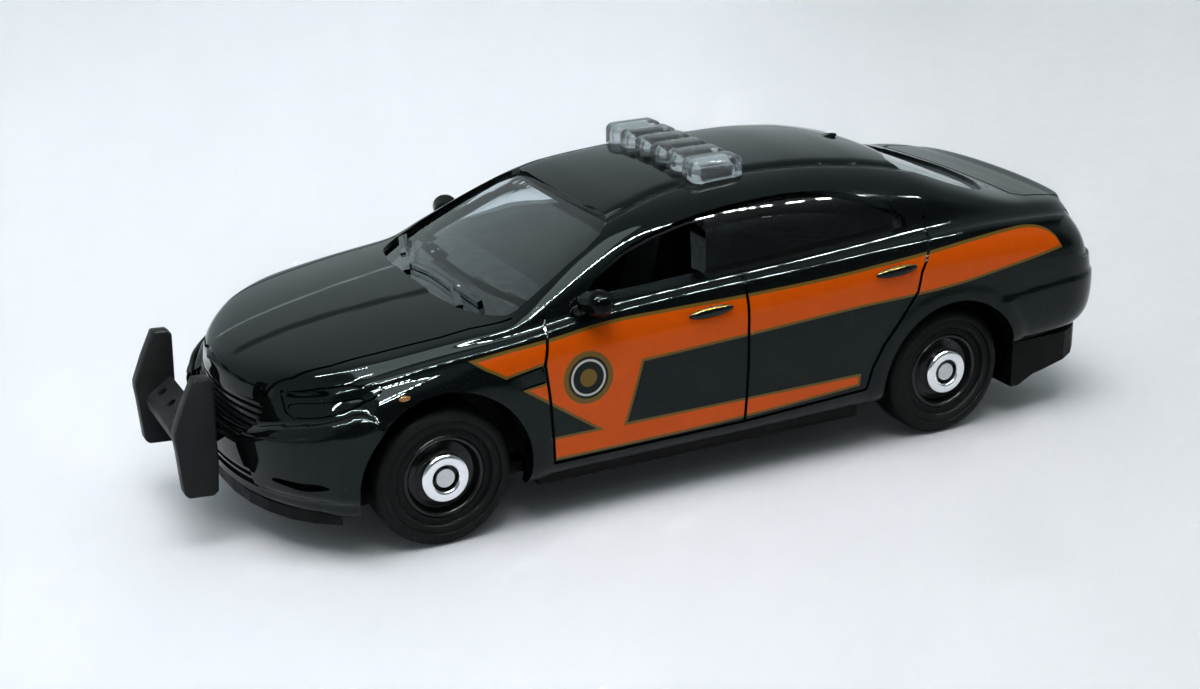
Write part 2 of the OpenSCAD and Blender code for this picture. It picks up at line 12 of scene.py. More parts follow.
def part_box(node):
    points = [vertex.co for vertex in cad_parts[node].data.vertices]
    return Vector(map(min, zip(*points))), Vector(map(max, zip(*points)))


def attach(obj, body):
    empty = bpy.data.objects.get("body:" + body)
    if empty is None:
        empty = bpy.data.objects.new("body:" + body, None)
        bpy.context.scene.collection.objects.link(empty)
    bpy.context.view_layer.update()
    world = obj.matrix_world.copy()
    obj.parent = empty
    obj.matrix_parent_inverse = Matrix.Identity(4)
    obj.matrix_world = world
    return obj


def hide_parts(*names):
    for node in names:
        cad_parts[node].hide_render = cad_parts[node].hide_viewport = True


bl_info = {
    "name": "Toy police car",
    "version": (1, 0, 0),
    "blender": (4, 5, 0),
    "location": "View3D > Sidebar > Toy car",
    "description": "Builds the looks of a die-cast police car",
    "category": "Object",
}

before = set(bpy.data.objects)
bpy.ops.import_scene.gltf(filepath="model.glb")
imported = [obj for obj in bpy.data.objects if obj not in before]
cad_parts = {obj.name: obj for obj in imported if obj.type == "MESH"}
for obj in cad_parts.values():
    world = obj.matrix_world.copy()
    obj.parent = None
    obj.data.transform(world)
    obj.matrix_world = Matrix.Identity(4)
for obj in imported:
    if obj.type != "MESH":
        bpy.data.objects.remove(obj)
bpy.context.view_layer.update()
MM = 0.001
tyre_low, tyre_high = (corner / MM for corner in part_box("tyre_front_left"))
axle_x = (tyre_low.x + tyre_high.x) / 2
tyre_radius = tyre_high.z / 2
tyre_face = tyre_high.y
bar_low, bar_high = (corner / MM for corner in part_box("light_bar"))
push_low, push_high = (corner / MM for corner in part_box("push_bar"))

# ---- body surface: lengthwise design curves in millimetres, nose first: [x, height or half width] ----
TOP = [[34.2, 9.8], [33.3, 11], [32.3, 11.8], [31, 12.35], [29, 13], [26, 13.7], [21, 14.5],
       [17.5, 14.9], [15.6, 15.15], [13, 16.35], [8, 18.75], [5, 20.05], [3, 20.6], [-1, 21.2],
       [-6, 21.5], [-11, 21.55], [-16, 21.2], [-19.5, 20.5], [-21.2, 19.95], [-24, 18.95],
       [-27.5, 17.55], [-29.5, 16.85], [-31, 16.65], [-34, 16.3], [-35, 15.8], [-36, 14.6]]
RAIL_Z = [[34.2, 9.1], [33, 10.6], [31, 11.8], [29, 12.5], [26, 13.1], [22, 13.65],
          [18, 14.15], [14.8, 14.5], [12, 16], [8, 18.3], [5, 19.6], [3, 20.1],
          [-1, 20.5], [-6, 20.75], [-11, 20.7], [-16, 20.3], [-19.5, 19.6], [-24, 18.1],
          [-27.5, 17], [-29.5, 16.6], [-31, 16.45], [-34, 16], [-35, 15.5], [-36, 14.3]]
RAIL_Y = [[34.2, 7.5], [31, 8.7], [29, 9.3], [26, 9.9], [22, 10.6], [18, 11], [14.8, 11.3],
          [12, 11], [8, 9.95], [5, 9.4], [0, 9], [-6, 8.75], [-12, 8.5], [-17, 8.6],
          [-22, 9.4], [-27, 9.9], [-30, 9.6], [-36, 9.2]]
BELT_Y = [[34.2, 9.6], [30, 10.2], [27, 11], [24, 11.6], [20, 12], [15, 12.3], [10, 12.35],
          [0, 12.3], [-10, 12.2], [-18, 12], [-24, 11.8], [-30, 11.5], [-36, 11.1]]
BELT_Z = [[34.2, 8.4], [32, 9.9], [30, 11], [28, 11.9], [26, 12.4], [24, 12.8], [20, 13.3],
          [15, 13.75], [10, 14.5], [0, 15.2], [-8, 15.5], [-16, 15.9], [-24, 16.2],
          [-30, 16], [-34, 15.3], [-36, 13.9]]
SHOULDER_Y = [[34.2, 11.5], [30, 12.2], [26, 13], [22, 13.5], [14, 13.65], [8, 13.5],
              [-10, 13.6], [-20, 13.7], [-30, 13.4], [-36, 13]]
SHOULDER_Z = [[34.2, 7.2], [32, 8.7], [30, 9.9], [28, 10.9], [26, 11.5], [24, 11.95],
              [20, 12.6], [15, 13.15], [10, 13.75], [0, 14.2], [-8, 14.5], [-16, 14.9],
              [-24, 15.1], [-30, 14.8], [-34, 14.2], [-36, 13]]
SIDE_Y = [[34.2, 13.6], [26, 14.2], [10, 14.25], [-10, 14.3], [-25, 14.4], [-36, 14]]
SILL_Y = [[34.2, 12.8], [26, 13.9], [12, 13.9], [-12, 13.9], [-28, 13.8], [-36, 13]]
SILL_Z = [[34.2, 3.4], [26, 3.4], [12, 3.5], [-13, 3.75], [-16, 4.1], [-25.5, 6.2], [-29, 6.3],
          [-36, 6.45]]
NOSE_REACH = [32.4, 32.8, 33.2, 33.4, 33.1, 32.7, 32.5, 32.4, 32.4, 32.5, 32.6]
TAIL_REACH = [-35.8, -36.1, -36.8, -36.9, -36.6, -36, -35.4, -35.3, -35.3, -35.4, -35.4]
NOSE_START, NOSE_ROUND = 24, 0.9
TAIL_START, TAIL_ROUND = -30, 0.62
ROOF = 10        # level of the roof centre; 0 is the sill
FRONT_ARCH_Z, FRONT_ARCH = 5.15, 6.2
REAR_ARCH_Z, REAR_ARCH = 4.9, 6.05
ARCHES = [(axle_x, FRONT_ARCH_Z, FRONT_ARCH), (-axle_x, REAR_ARCH_Z, REAR_ARCH)]
SHELL = 1.1
PANE_INSET = 0.35
GLASS_INSET, GLASS_WALL = 1.16, 0.7


def curve(knots, x):
    """Smooth run through the knots with no overshoot, straight beyond its ends."""
    table = np.array(sorted(knots), float)
    kx, ky = table[:, 0], table[:, 1]
    step = np.diff(kx)
    rise = np.diff(ky) / step
    slope = np.zeros(len(kx))
    slope[0], slope[-1] = rise[0], rise[-1]
    for i in range(1, len(kx) - 1):
        if rise[i - 1] * rise[i] > 0:
            a, b = 2 * step[i] + step[i - 1], step[i] + 2 * step[i - 1]
            slope[i] = (a + b) / (a / rise[i - 1] + b / rise[i])
    inside = np.clip(x, kx[0], kx[-1])
    i = np.clip(np.searchsorted(kx, inside, side="right") - 1, 0, len(kx) - 2)
    t = (inside - kx[i]) / step[i]
    value = ((2 * t**3 - 3 * t**2 + 1) * ky[i] + (t**3 - 2 * t**2 + t) * step[i] * slope[i]
             + (3 * t**2 - 2 * t**3) * ky[i + 1] + (t**3 - t**2) * step[i] * slope[i + 1])
    return value + (x - inside) * np.where(x > kx[-1], slope[-1], np.where(x < kx[0], slope[0], 0))


def level_point(level, x, inset):
    """Half width and height of one level of the section at x, drawn in by inset."""
    e = inset + 0.1 if inset > 0 else inset
    side, sill_y, sill_z = curve(SIDE_Y, x), curve(SILL_Y, x), curve(SILL_Z, x)
    shoulder_y, shoulder_z = curve(SHOULDER_Y, x), curve(SHOULDER_Z, x)
    belt_y, belt_z = curve(BELT_Y, x), curve(BELT_Z, x)
    rail_y, rail_z, top = curve(RAIL_Y, x), curve(RAIL_Z, x), curve(TOP, x)
    return [
        lambda: (sill_y - (e if inset > 0 else 0.7), sill_z),
        lambda: (sill_y - e, sill_z + 0.5),
        lambda: (side - 0.15 - e, 0.55 * sill_z + 4.2),
        lambda: (side - e, 0.3 * sill_z + 8.2),
        lambda: (side - 0.1 - e, shoulder_z - 1.6 - 0.3 * inset),
        lambda: (shoulder_y - e, shoulder_z - 0.5 * inset),
        lambda: (belt_y - e, belt_z - 0.7 * inset),
        lambda: ((belt_y + rail_y) / 2 + 0.35 - e, (belt_z + rail_z) / 2 + 0.15 - 0.7 * inset),
        lambda: (rail_y - 0.9 * inset, rail_z - inset),
        lambda: (0.55 * rail_y - 0.5 * inset, top - 0.22 * (top - rail_z) - inset),
        lambda: (0 * x, top - inset),
    ][level]()


def surface(run, level, inset=0.0):
    """Points of the body surface. run is 0 at the nose, 1 to 2 along the sides and 3 at the tail;
    level is 0 at a sill and 10 at the roof centre, negative on the car's right."""
    side, level = np.where(np.asarray(level) < 0, -1, 1), np.abs(level)
    run, place = np.unique(np.asarray(run, float), return_inverse=True)
    tail = run > 2
    angle = np.where(tail, 3 - run, np.minimum(run, 1)) * math.pi / 2
    power = np.where(tail, TAIL_ROUND, NOSE_ROUND)
    ends = (run < 1) | tail
    draw = np.where(ends, np.cos(angle) ** power, 0)
    spread = np.where(ends, np.sin(angle) ** power, 1)
    middle = NOSE_START + (TAIL_START - NOSE_START) * np.clip(run - 1, 0, 1)
    base = np.where(tail, TAIL_START, np.where(run < 1, NOSE_START, middle))
    net = np.zeros((ROOF + 3, len(run), 3))
    for k in range(ROOF + 1):
        reach = np.where(tail, TAIL_REACH[k] + inset, NOSE_REACH[k] - inset)
        x = base + (reach - base) * draw
        y, z = level_point(k, x, inset)
        net[k + 1] = np.stack([x, y * spread, z], 1)
    net[0] = 2 * net[1] - net[2]
    net[-1] = net[ROOF] * (1, -1, 1)
    i = np.clip(level.astype(int), 0, ROOF - 1)
    t = (level - i)[:, None]
    point = ((1 - t) ** 3 * net[i, place] + (3 * t**3 - 6 * t**2 + 4) * net[i + 1, place]
             + (1 + 3 * t + 3 * t**2 - 3 * t**3) * net[i + 2, place] + t**3 * net[i + 3, place]) / 6
    return point * np.stack([0 * side + 1, side, 0 * side + 1], 1)


def ease(value, low, high):
    """0 below low, 1 above high and a smooth step between."""
    t = np.clip((value - low) / (high - low), 0, 1)
    return t * t * (3 - 2 * t)


def bead(distance, width):
    """A round bead across a line."""
    return np.exp(-((distance / width) ** 2))


GUTTER_Y = [[-21, 7.35], [-16.5, 7], [-6.8, 6.2], [0, 6.6], [4, 7.55], [7, 7.85]]
CREST_Z = [[24.2, 9.5], [24.8, 9.89], [26, 10.6], [26.4, 10.6], [27.05, 10.35], [29.46, 9.56],
           [30.8, 9.04], [32.03, 8.28], [33.4, 8]]
DOME_Y = [[15, 3.6], [26.5, 2.25], [32, 1.9]]
BUMPER_Z = [[-37, 11.1], [-32.5, 11.03], [-28.4, 10.87], [-24.5, 10.5]]
# flares round the arches: x, z, height, and the radii between which it falls to nothing
FLARES = [(axle_x, FRONT_ARCH_Z, 0.18, 6.85, 8.4), (-axle_x, REAR_ARCH_Z, 0.16, 6.6, 7.6)]
# heights of the rest of the relief above the plain surface, and depths below it
DOME, FENDER_BEAD, ROOF_PANEL, GUTTER = 0.14, 0.19, 0.1, 0.2
REAR_BUMPER, BOOT_LIP, CHIN, CHIN_GROOVE = 0.16, 0.25, 0.2, 0.12
CREST_BEAD, CREST_HOLLOW = 0.12, 0.32


def relief(point, level):
    """How far the casting stands proud of its plain surface: flares, creases, gutters and lips."""
    x, y, z = point[:, 0], np.abs(point[:, 1]), point[:, 2]
    level = np.abs(level)
    flank = 1 - ease(z, 11, 12.6)
    proud = np.zeros(len(x))
    for axle, centre, height, full, none in FLARES:
        proud += height * (1 - ease(np.hypot(x - axle, z - centre), full, none)) * flank
    bonnet = ease(x, 15.2, 16.2) * (1 - ease(x, 30.5, 31.6)) * (level > 7.2)
    proud += DOME * bonnet * (1 - ease(y - curve(DOME_Y, x), -0.35, 0.35))
    fender = ease(x, -36, -31) * (1 - ease(x, 26.5, 28.5))
    proud += FENDER_BEAD * bead(level - 5.5, 0.22) * fender
    roof = (1 - ease(x, 6, 7)) * ease(x, -21.5, -19.5) * (level > 7.5)
    edge = y - curve(GUTTER_Y, x)
    proud += roof * (ROOF_PANEL * (1 - ease(edge, -0.7, 0.1)) - GUTTER * bead(edge - 0.15, 0.3))
    below = 1 - ease(z - curve(BUMPER_Z, x), -0.5, 0.1)
    proud += REAR_BUMPER * (1 - ease(x, -25.5, -24)) * below
    proud += BOOT_LIP * (1 - ease(x, -34.6, -33)) * ease(level, 6.6, 7.4)
    rise, ahead = z - curve(CREST_Z, x), ease(x, 24.6, 26)
    proud += CHIN * (ease(x, 24.3, 25.3) * (1 - ease(rise, -0.45, 0.1))) * ease(z, 4.2, 5)
    proud += CREST_BEAD * bead(rise, 0.24) * ahead
    proud -= CREST_HOLLOW * ease(rise, -0.2, 0.28) * (1 - ease(rise, 0.5, 2.2)) * ahead
    proud -= CHIN_GROOVE * ease(x, 26, 27.5) * bead(z - 4.3, 0.35)
    return proud


def outward(shape, run, level, step):
    """Outward unit normals of a function of run and level, from points a step to either side."""
    size, sign = np.abs(level), np.where(level < 0, -1, 1)
    ahead, behind = (shape(np.clip(run + d, 0, 3), sign * size) for d in (step, -step))
    above, below = (shape(run, sign * np.clip(size + d, 0, ROOF)) for d in (step, -step))
    normal = np.cross(ahead - behind, above - below) * sign[:, None]
    return normal / np.maximum(np.linalg.norm(normal, axis=1), 1e-12)[:, None]


def casting(run, level, inset=0.0):
    """The body surface with its relief, which an inset leaves out."""
    point = surface(run, level, inset)
    if inset > 0:
        return point
    height = relief(point, level) if inset == 0 else np.zeros(len(point))
    return point - outward(surface, run, level, 0.002) * (inset - height)[:, None]


def normals_at(run, level):
    """Outward normals of the finished casting surface."""
    step = 0.004
    size = np.where(level < 0, -1, 1) * np.clip(np.abs(level), step, ROOF - step)
    return outward(casting, np.clip(run, step, 3 - step), size, step)


# ---- making shapes ----
def moved_grid(points):
    """A grid of faces with its corners on points, an array of rows by columns by 3."""
    rows, columns = points.shape[:2]
    mesh = bmesh.new()
    bmesh.ops.create_grid(mesh, x_segments=columns - 1, y_segments=rows - 1, size=1)
    mesh.verts.ensure_lookup_table()
    flat = np.array([v.co for v in mesh.verts])
    order = np.lexsort((flat[:, 0], np.round(flat[:, 1], 5)))
    for place, index in zip(points.reshape(-1, 3), order):
        mesh.verts[int(index)].co = place
    return mesh, order


def closed_up(mesh):
    """Merges seams, fills open ends and turns the faces outwards."""
    bmesh.ops.remove_doubles(mesh, verts=mesh.verts, dist=1e-4)
    bmesh.ops.dissolve_degenerate(mesh, edges=mesh.edges, dist=1e-5)
    bmesh.ops.holes_fill(mesh, edges=[e for e in mesh.edges if e.is_boundary], sides=0)
    bmesh.ops.recalc_face_normals(mesh, faces=mesh.faces)
    return mesh


def loft(rings):
    """A closed solid through rings of points."""
    rings = np.array(rings, float)
    return closed_up(moved_grid(np.concatenate([rings, rings[:, :1]], 1))[0])


def even_steps(path, low, high, count):
    """Values from low to high that lie evenly along a path, which is a function of them."""
    values = np.linspace(low, high, 400)
    length = np.linalg.norm(np.diff(path(values), axis=0), axis=1)
    length = np.concatenate([[0], np.cumsum(length)])
    return np.interp(np.linspace(0, length[-1], count + 1), length, values)


def body_solid(columns, rows, inset=0.0, floor=None, marked=False):
    """A closed solid inside the body surface, drawn in by inset and closed below, at floor if given.
    marked writes each place's run and level in the UV map."""
    around = [even_steps(lambda v: surface(v, np.full(len(v), 4.0)), part, part + 1, int(columns * share))
              for part, share in ((0, 0.21), (1, 0.57), (2, 0.22))]
    run = np.concatenate([around[0], around[1][1:], around[2][1:]])
    half = even_steps(lambda v: surface(np.full(len(v), 1.5), v), 1e-6, ROOF, rows // 2)
    height = np.concatenate([half, 2 * ROOF - half[-2::-1]])
    runs, heights = np.meshgrid(run, height)
    level = np.where(heights <= ROOF, -heights, 2 * ROOF - heights)
    skin = casting(runs.ravel(), level.ravel(), inset).reshape(len(height), len(run), 3)
    foot = skin[[0, -1]] if floor is None else skin[[0, -1]] * (1, 1, 0) + (0, 0, floor)
    keel = foot * (1, 0, 1)
    mesh, order = moved_grid(np.concatenate([keel[:1], foot[:1], skin, foot[1:], keel[1:]]))
    if marked:
        layer = mesh.loops.layers.uv.new("surface")
        mark = np.zeros((len(height) + 4, len(run), 2))
        mark[2:-2, :, 0], mark[2:-2, :, 1] = runs + 1, heights + 1
        place = np.empty((len(order), 2))
        place[order] = mark.reshape(-1, 2)
        for face in mesh.faces:
            spots = place[[v.index for v in face.verts]]
            if spots.min() > 0:
                for loop, spot in zip(face.loops, spots):
                    loop[layer].uv = spot
    return closed_up(mesh)


def loose(mesh, name="tool"):
    """Puts a bmesh in a scene object of its own."""
    data = bpy.data.meshes.new(name)
    mesh.to_mesh(data)
    mesh.free()
    thing = bpy.data.objects.new(name, data)
    bpy.context.scene.collection.objects.link(thing)
    return thing


def combine(target, tool, operation="DIFFERENCE"):
    """Cuts, trims or joins a solid with another, which is used up."""
    tool = tool if isinstance(tool, bpy.types.Object) else loose(tool)
    step = target.modifiers.new("combine", "BOOLEAN")
    step.object, step.operation, step.solver = tool, operation, "MANIFOLD"
    bpy.context.view_layer.update()
    ready = target.evaluated_get(bpy.context.evaluated_depsgraph_get())
    shape = bpy.data.meshes.new_from_object(ready)
    target.modifiers.remove(step)
    if not shape.polygons:
        raise RuntimeError(f"{operation} left nothing of {target.name}")
    used = [target.data, tool.data]
    target.data = shape
    bpy.data.objects.remove(tool)
    for data in used:
        bpy.data.meshes.remove(data)
    return target


def joined(meshes):
    """Several bmeshes as one."""
    whole = bmesh.new()
    for mesh in meshes:
        data = bpy.data.meshes.new("join")
        mesh.to_mesh(data)
        mesh.free()
        whole.from_mesh(data)
        bpy.data.meshes.remove(data)
    return whole


def prism(outline, axis, low, high):
    """A closed straight prism: outline in the plane across the axis, from low to high along it."""
    place = {"x": lambda a, b: (low, a, b), "y": lambda a, b: (a, low, b), "z": lambda a, b: (a, b, low)}
    mesh = bmesh.new()
    face = mesh.faces.new([mesh.verts.new(place[axis](a, b)) for a, b in outline])
    out = bmesh.ops.extrude_face_region(mesh, geom=[face])
    shift = Vector([(high - low) * (axis == letter) for letter in "xyz"])
    far = [v for v in out["geom"] if isinstance(v, bmesh.types.BMVert)]
    bmesh.ops.translate(mesh, vec=shift, verts=far)
    bmesh.ops.recalc_face_normals(mesh, faces=mesh.faces)
    return mesh


def block(low, high, edge=0.0, segments=3):
    """A box between two corners with rounded edges."""
    mesh = bmesh.new()
    bmesh.ops.create_cube(mesh, size=1)
    low, high = Vector(low), Vector(high)
    bmesh.ops.scale(mesh, vec=high - low, verts=mesh.verts)
    bmesh.ops.translate(mesh, vec=(low + high) / 2, verts=mesh.verts)
    return softened(mesh, edge, segments) if edge else mesh


def softened(mesh, edge, segments=3, angle=30):
    """Rounds the sharp edges of a bmesh."""
    sharp = [e for e in mesh.edges if e.is_manifold and e.calc_face_angle() > math.radians(angle)]
    bmesh.ops.bevel(mesh, geom=sharp, offset=edge, segments=segments, profile=0.5, affect="EDGES",
                    material=-1, clamp_overlap=True)
    return mesh


def drum(place, axis, radius, length, segments=96):
    """A closed cylinder centred on place along an axis."""
    mesh = bmesh.new()
    turn = Vector((0, 0, 1)).rotation_difference(Vector(axis)).to_matrix().to_4x4()
    bmesh.ops.create_cone(mesh, cap_ends=True, segments=segments, radius1=radius, radius2=radius,
                          depth=length, matrix=Matrix.Translation(place) @ turn)
    return mesh


def egg(place, size, segments=32):
    """A closed ellipsoid with the given half sizes."""
    mesh = bmesh.new()
    bmesh.ops.create_uvsphere(mesh, u_segments=segments, v_segments=segments // 2, radius=1,
                              matrix=Matrix.Translation(place) @ Matrix.Diagonal((*size, 1)))
    return mesh


def ball(mesh, place, radius):
    """Adds a ball to a bmesh."""
    bmesh.ops.create_uvsphere(mesh, u_segments=32, v_segments=16, radius=radius,
                              matrix=Matrix.Translation(place))


def turned(profile, x, side, segments=112):
    """A ring turned about an axle: profile points are [radius, y], closed, on the car's left."""
    mesh = bmesh.new()
    points = [mesh.verts.new((radius, y, 0)) for radius, y in profile]
    rim = [mesh.edges.new((a, b)) for a, b in zip(points, points[1:] + points[:1])]
    bmesh.ops.spin(mesh, geom=points + rim, axis=(0, 1, 0), cent=(0, 0, 0), angle=2 * math.pi,
                   steps=segments, use_merge=True)
    bmesh.ops.remove_doubles(mesh, verts=mesh.verts, dist=1e-5)
    bmesh.ops.scale(mesh, vec=(1, side, 1), verts=mesh.verts)
    bmesh.ops.translate(mesh, vec=(x, 0, tyre_radius), verts=mesh.verts)
    bmesh.ops.recalc_face_normals(mesh, faces=mesh.faces)
    return mesh


def rounded(outline, share=0.2, times=2):
    """An outline with its corners cut back to short curves."""
    points = np.array(outline, float)
    for _ in range(times):
        after = np.roll(points, -1, 0)
        points = np.stack([(1 - share) * points + share * after,
                           share * points + (1 - share) * after], 1).reshape(-1, 2)
    return points


class Skin:
    """Finds places on the outside of the casting, or on a solid drawn in by inset."""

    def __init__(self, inset=0.0):
        mesh = body_solid(200, 130, inset)
        self.tree = BVHTree.FromBMesh(mesh)
        mesh.free()

    def spot(self, a, b, way):
        """The place and outward normal met from the side, the top, the front or the back."""
        start, ray = {"left": ((a, 30, b), (0, -1, 0)), "right": ((a, -30, b), (0, 1, 0)),
                      "top": ((a, b, 40), (0, 0, -1)), "front": ((60, a, b), (-1, 0, 0)),
                      "back": ((-60, a, b), (1, 0, 0))}[way]
        place, normal, _, _ = self.tree.ray_cast(Vector(start), Vector(ray))
        if place is None:
            raise RuntimeError(f"no surface at {a}, {b} from the {way}")
        return place, normal

    def trace(self, points, way, spacing=0.35):
        """Places and normals along a line over the surface."""
        spots = []
        for (a, b), (c, d) in zip(points, points[1:]):
            steps = max(int(math.hypot(c - a, d - b) / spacing), 1)
            spots += [(a + (c - a) * i / steps, b + (d - b) * i / steps) for i in range(steps)]
        return [self.spot(a, b, way) for a, b in spots + [points[-1]]]


def strip(path, width, up, down):
    """A bar of rectangular section along a path of places and normals."""
    rings = []
    for i, (place, normal) in enumerate(path):
        ahead, behind = path[min(i + 1, len(path) - 1)][0], path[max(i - 1, 0)][0]
        across = (ahead - behind).cross(normal).normalized() * width / 2
        rings.append([place - across - normal * down, place + across - normal * down,
                      place + across + normal * up, place - across + normal * up])
    return loft(rings)


# ---- handing pieces over ----
def hand_over(thing, name, finishes, body="car", replaces=(), smooth=35):
    """Names a finished piece, brings it to metres, shades it and lets it ride on its body."""
    thing = thing if isinstance(thing, bpy.types.Object) else loose(thing, name)
    thing.name = thing.data.name = name
    thing.data.transform(Matrix.Scale(MM, 4))
    finishes = finishes if isinstance(finishes, (list, tuple)) else [finishes]
    thing.data.materials.clear()
    for finish in finishes:
        thing.data.materials.append(finish)
    for face in thing.data.polygons:
        face.use_smooth = True
    if smooth:
        thing.data.set_sharp_from_angle(angle=math.radians(smooth))
    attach(thing, body)
    if replaces:
        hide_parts(*replaces)
    return thing


# ---- finishes ----
class Nodes:
    """Puts together a node tree, node by node."""

    def __init__(self, tree):
        self.tree = tree

    def node(self, kind, *values, **settings):
        made = self.tree.nodes.new(kind)
        for key, value in settings.items():
            setattr(made, key, value)
        for socket, value in zip(made.inputs, values):
            self.feed(socket, value)
        return made

    def feed(self, socket, value):
        if isinstance(value, bpy.types.NodeSocket):
            self.tree.links.new(value, socket)
        elif value is not None:
            socket.default_value = value

    def math(self, operation, *values):
        return self.node("ShaderNodeMath", *values, operation=operation).outputs[0]

    def ramp(self, value, low, high, start=0.0, end=1.0):
        return self.node("ShaderNodeMapRange", value, low, high, start, end,
                         interpolation_type="SMOOTHSTEP").outputs[0]


class Finish(Nodes):
    """One procedural material."""

    def __init__(self, name, **sockets):
        self.material = bpy.data.materials.new(name + "_finish")
        self.material.use_nodes = True
        super().__init__(self.material.node_tree)
        self.shader = self.tree.nodes["Principled BSDF"]
        for socket, value in sockets.items():
            self.set(socket.replace("_", " "), value)
        self.place = self.node("ShaderNodeTexCoord").outputs["Object"]

    def minus(self, first, second):
        return self.math("SUBTRACT", first, second)

    def least(self, *values):
        result = values[0]
        for value in values[1:]:
            result = self.math("MINIMUM", result, value)
        return result

    def most(self, *values):
        result = values[0]
        for value in values[1:]:
            result = self.math("MAXIMUM", result, value)
        return result

    def noise(self, scale, detail=3.0, stretch=None):
        place = self.place
        if stretch:
            place = self.node("ShaderNodeVectorMath", place, stretch, operation="MULTIPLY").outputs[0]
        made = self.node("ShaderNodeTexNoise")
        self.feed(made.inputs["Vector"], place)
        made.inputs["Scale"].default_value = scale
        made.inputs["Detail"].default_value = detail
        return made.outputs["Fac"]

    def distance(self, a, b, centre):
        """Length from a centre in a plane."""
        apart = self.node("ShaderNodeCombineXYZ", self.minus(a, centre[0]), 0.0,
                          self.minus(b, centre[1])).outputs[0]
        return self.node("ShaderNodeVectorMath", apart, operation="LENGTH").outputs[1]

    def mix(self, share, first, second):
        made = self.node("ShaderNodeMix", data_type="RGBA")
        for socket, value in zip((made.inputs[0], made.inputs[6], made.inputs[7]), (share, first, second)):
            self.feed(socket, value)
        return made.outputs[2]

    def set(self, socket, value):
        self.feed(self.shader.inputs[socket], value)

    def bump(self, height, depth, strength=1.0):
        made = self.node("ShaderNodeBump")
        made.inputs["Strength"].default_value = strength
        made.inputs["Distance"].default_value = depth
        self.feed(made.inputs["Height"], height)
        self.set("Normal", made.outputs["Normal"])

    def wear(self, colour, shift=0.25, scale=900.0, rough=(0.3, 0.45)):
        """A faint cloudiness in colour and gloss, so no surface is one flat tone."""
        cloud = self.noise(scale)
        darker = [c * (1 - shift) for c in colour[:3]] + [1]
        lighter = [c * (1 + shift) for c in colour[:3]] + [1]
        self.set("Base Color", self.mix(cloud, darker, lighter))
        self.set("Roughness", self.ramp(cloud, 0.3, 0.7, *rough))
        return cloud


def kept(make):
    """Builds a finish the first time it is asked for."""
    def ask():
        found = bpy.data.materials.get(make.__name__ + "_finish")
        return found or make().material
    return ask


def colours():
    return bpy.context.scene.toycar_colours


def sizes():
    return bpy.context.scene.toycar_sizes


def rgb(colour):
    return (*colour, 1)


def gloss(f, colour):
    """Deep sprayed gloss: a dark coat with a faint ripple and fine dust."""
    ripple = f.noise(420, 2)
    dust = f.noise(9000, 4)
    f.set("Base Color", f.mix(f.ramp(dust, 0.62, 0.8), colour, (0.016, 0.026, 0.027, 1)))
    f.set("Roughness", f.ramp(f.noise(260, 3), 0.35, 0.7, 0.035, 0.075))
    f.set("Specular Tint", (0.8, 1, 1, 1))
    f.bump(ripple, 0.00001, 0.3)


@kept
def black_paint():
    f = Finish("black_paint", Specular_IOR_Level=0.17)
    gloss(f, rgb(colours().paint))
    return f


def side_line(f, x, points):
    """Height of a printed edge as a smooth function of x, both in millimetres."""
    low, high, bottom, top = -34.0, 22.0, 2.0, 18.0
    made = f.node("ShaderNodeFloatCurve", 1.0)
    f.feed(made.inputs["Value"], f.math("DIVIDE", f.minus(x, low), high - low))
    run = made.mapping.curves[0].points
    spots = [((a - low) / (high - low), (b - bottom) / (top - bottom)) for a, b in sorted(points)]
    while len(run) < len(spots):
        run.new(0.5, 0.5)
    for point, spot in zip(run, spots):
        point.location = spot
        point.handle_type = "AUTO"
    made.mapping.update()
    return f.math("ADD", f.math("MULTIPLY", made.outputs[0], top - bottom), bottom)


def half_plane(f, x, z, a, b):
    """Distance to the left of the line from a to b, seen from the car's left."""
    dx, dz = b[0] - a[0], b[1] - a[1]
    size = math.hypot(dx, dz)
    across = f.math("MULTIPLY", f.minus(x, a[0]), -dz / size)
    return f.math("ADD", across, f.math("MULTIPLY", f.minus(z, a[1]), dx / size))


BAND_TOP = [(-34, 10.5), (-31.4, 12.2), (-30.64, 13.5), (-30.1, 14.55), (-29, 15.2), (-27.6, 15.45),
            (-26.2, 15.46), (-22.4, 15.25), (-18.6, 14.94), (-14.6, 14.67), (-10.6, 14.41), (-4, 14.2),
            (4, 14.1), (8, 14.0), (12.6, 13.5), (15.8, 13.2), (18.4, 12.92), (22, 12.6)]
BAND_LOW = [(-34, 13.95), (-30.63, 13.48), (-28, 13.12), (-25.3, 12.78), (-21, 12.21), (-17.3, 11.95),
            (-12.7, 11.81), (-2.8, 11.32), (5.7, 10.93), (22, 10.4)]
STRIP_LOW = [(-34, 7.5), (-12.3, 5.64), (-2, 5.03), (5.2, 4.86), (22, 4.86)]
INSET_LOW, INSET_FRONT = 6.62, ((7.25, 6.0), (5.6, 11.3))
FLARE_EDGE = 7.72
TIP_EDGE = ((16.25, 11.42), (18.42, 12.95))
STRIP_REAR, PRINT_FRONT, PRINT_DEPTH = -12.3, 20.0, 9.5
CUTOUT_REAR, CUTOUT_LOW, CUTOUT_TOP = 13.15, ((13.3, 10.72), (15.1, 10.55)), ((16.4, 11.38), (13.2, 11.92))
OUTLINE_WIDTH, PRINT_BLUR = 0.2, 0.03
ROUNDEL, ROUNDEL_RADIUS = (10.0, 10.5), 1.87
ROUNDEL_RINGS = [(1.0, "outline"), (0.8, "paint"), (0.7, "pale"), (0.62, "paint"), (0.34, "outline")]


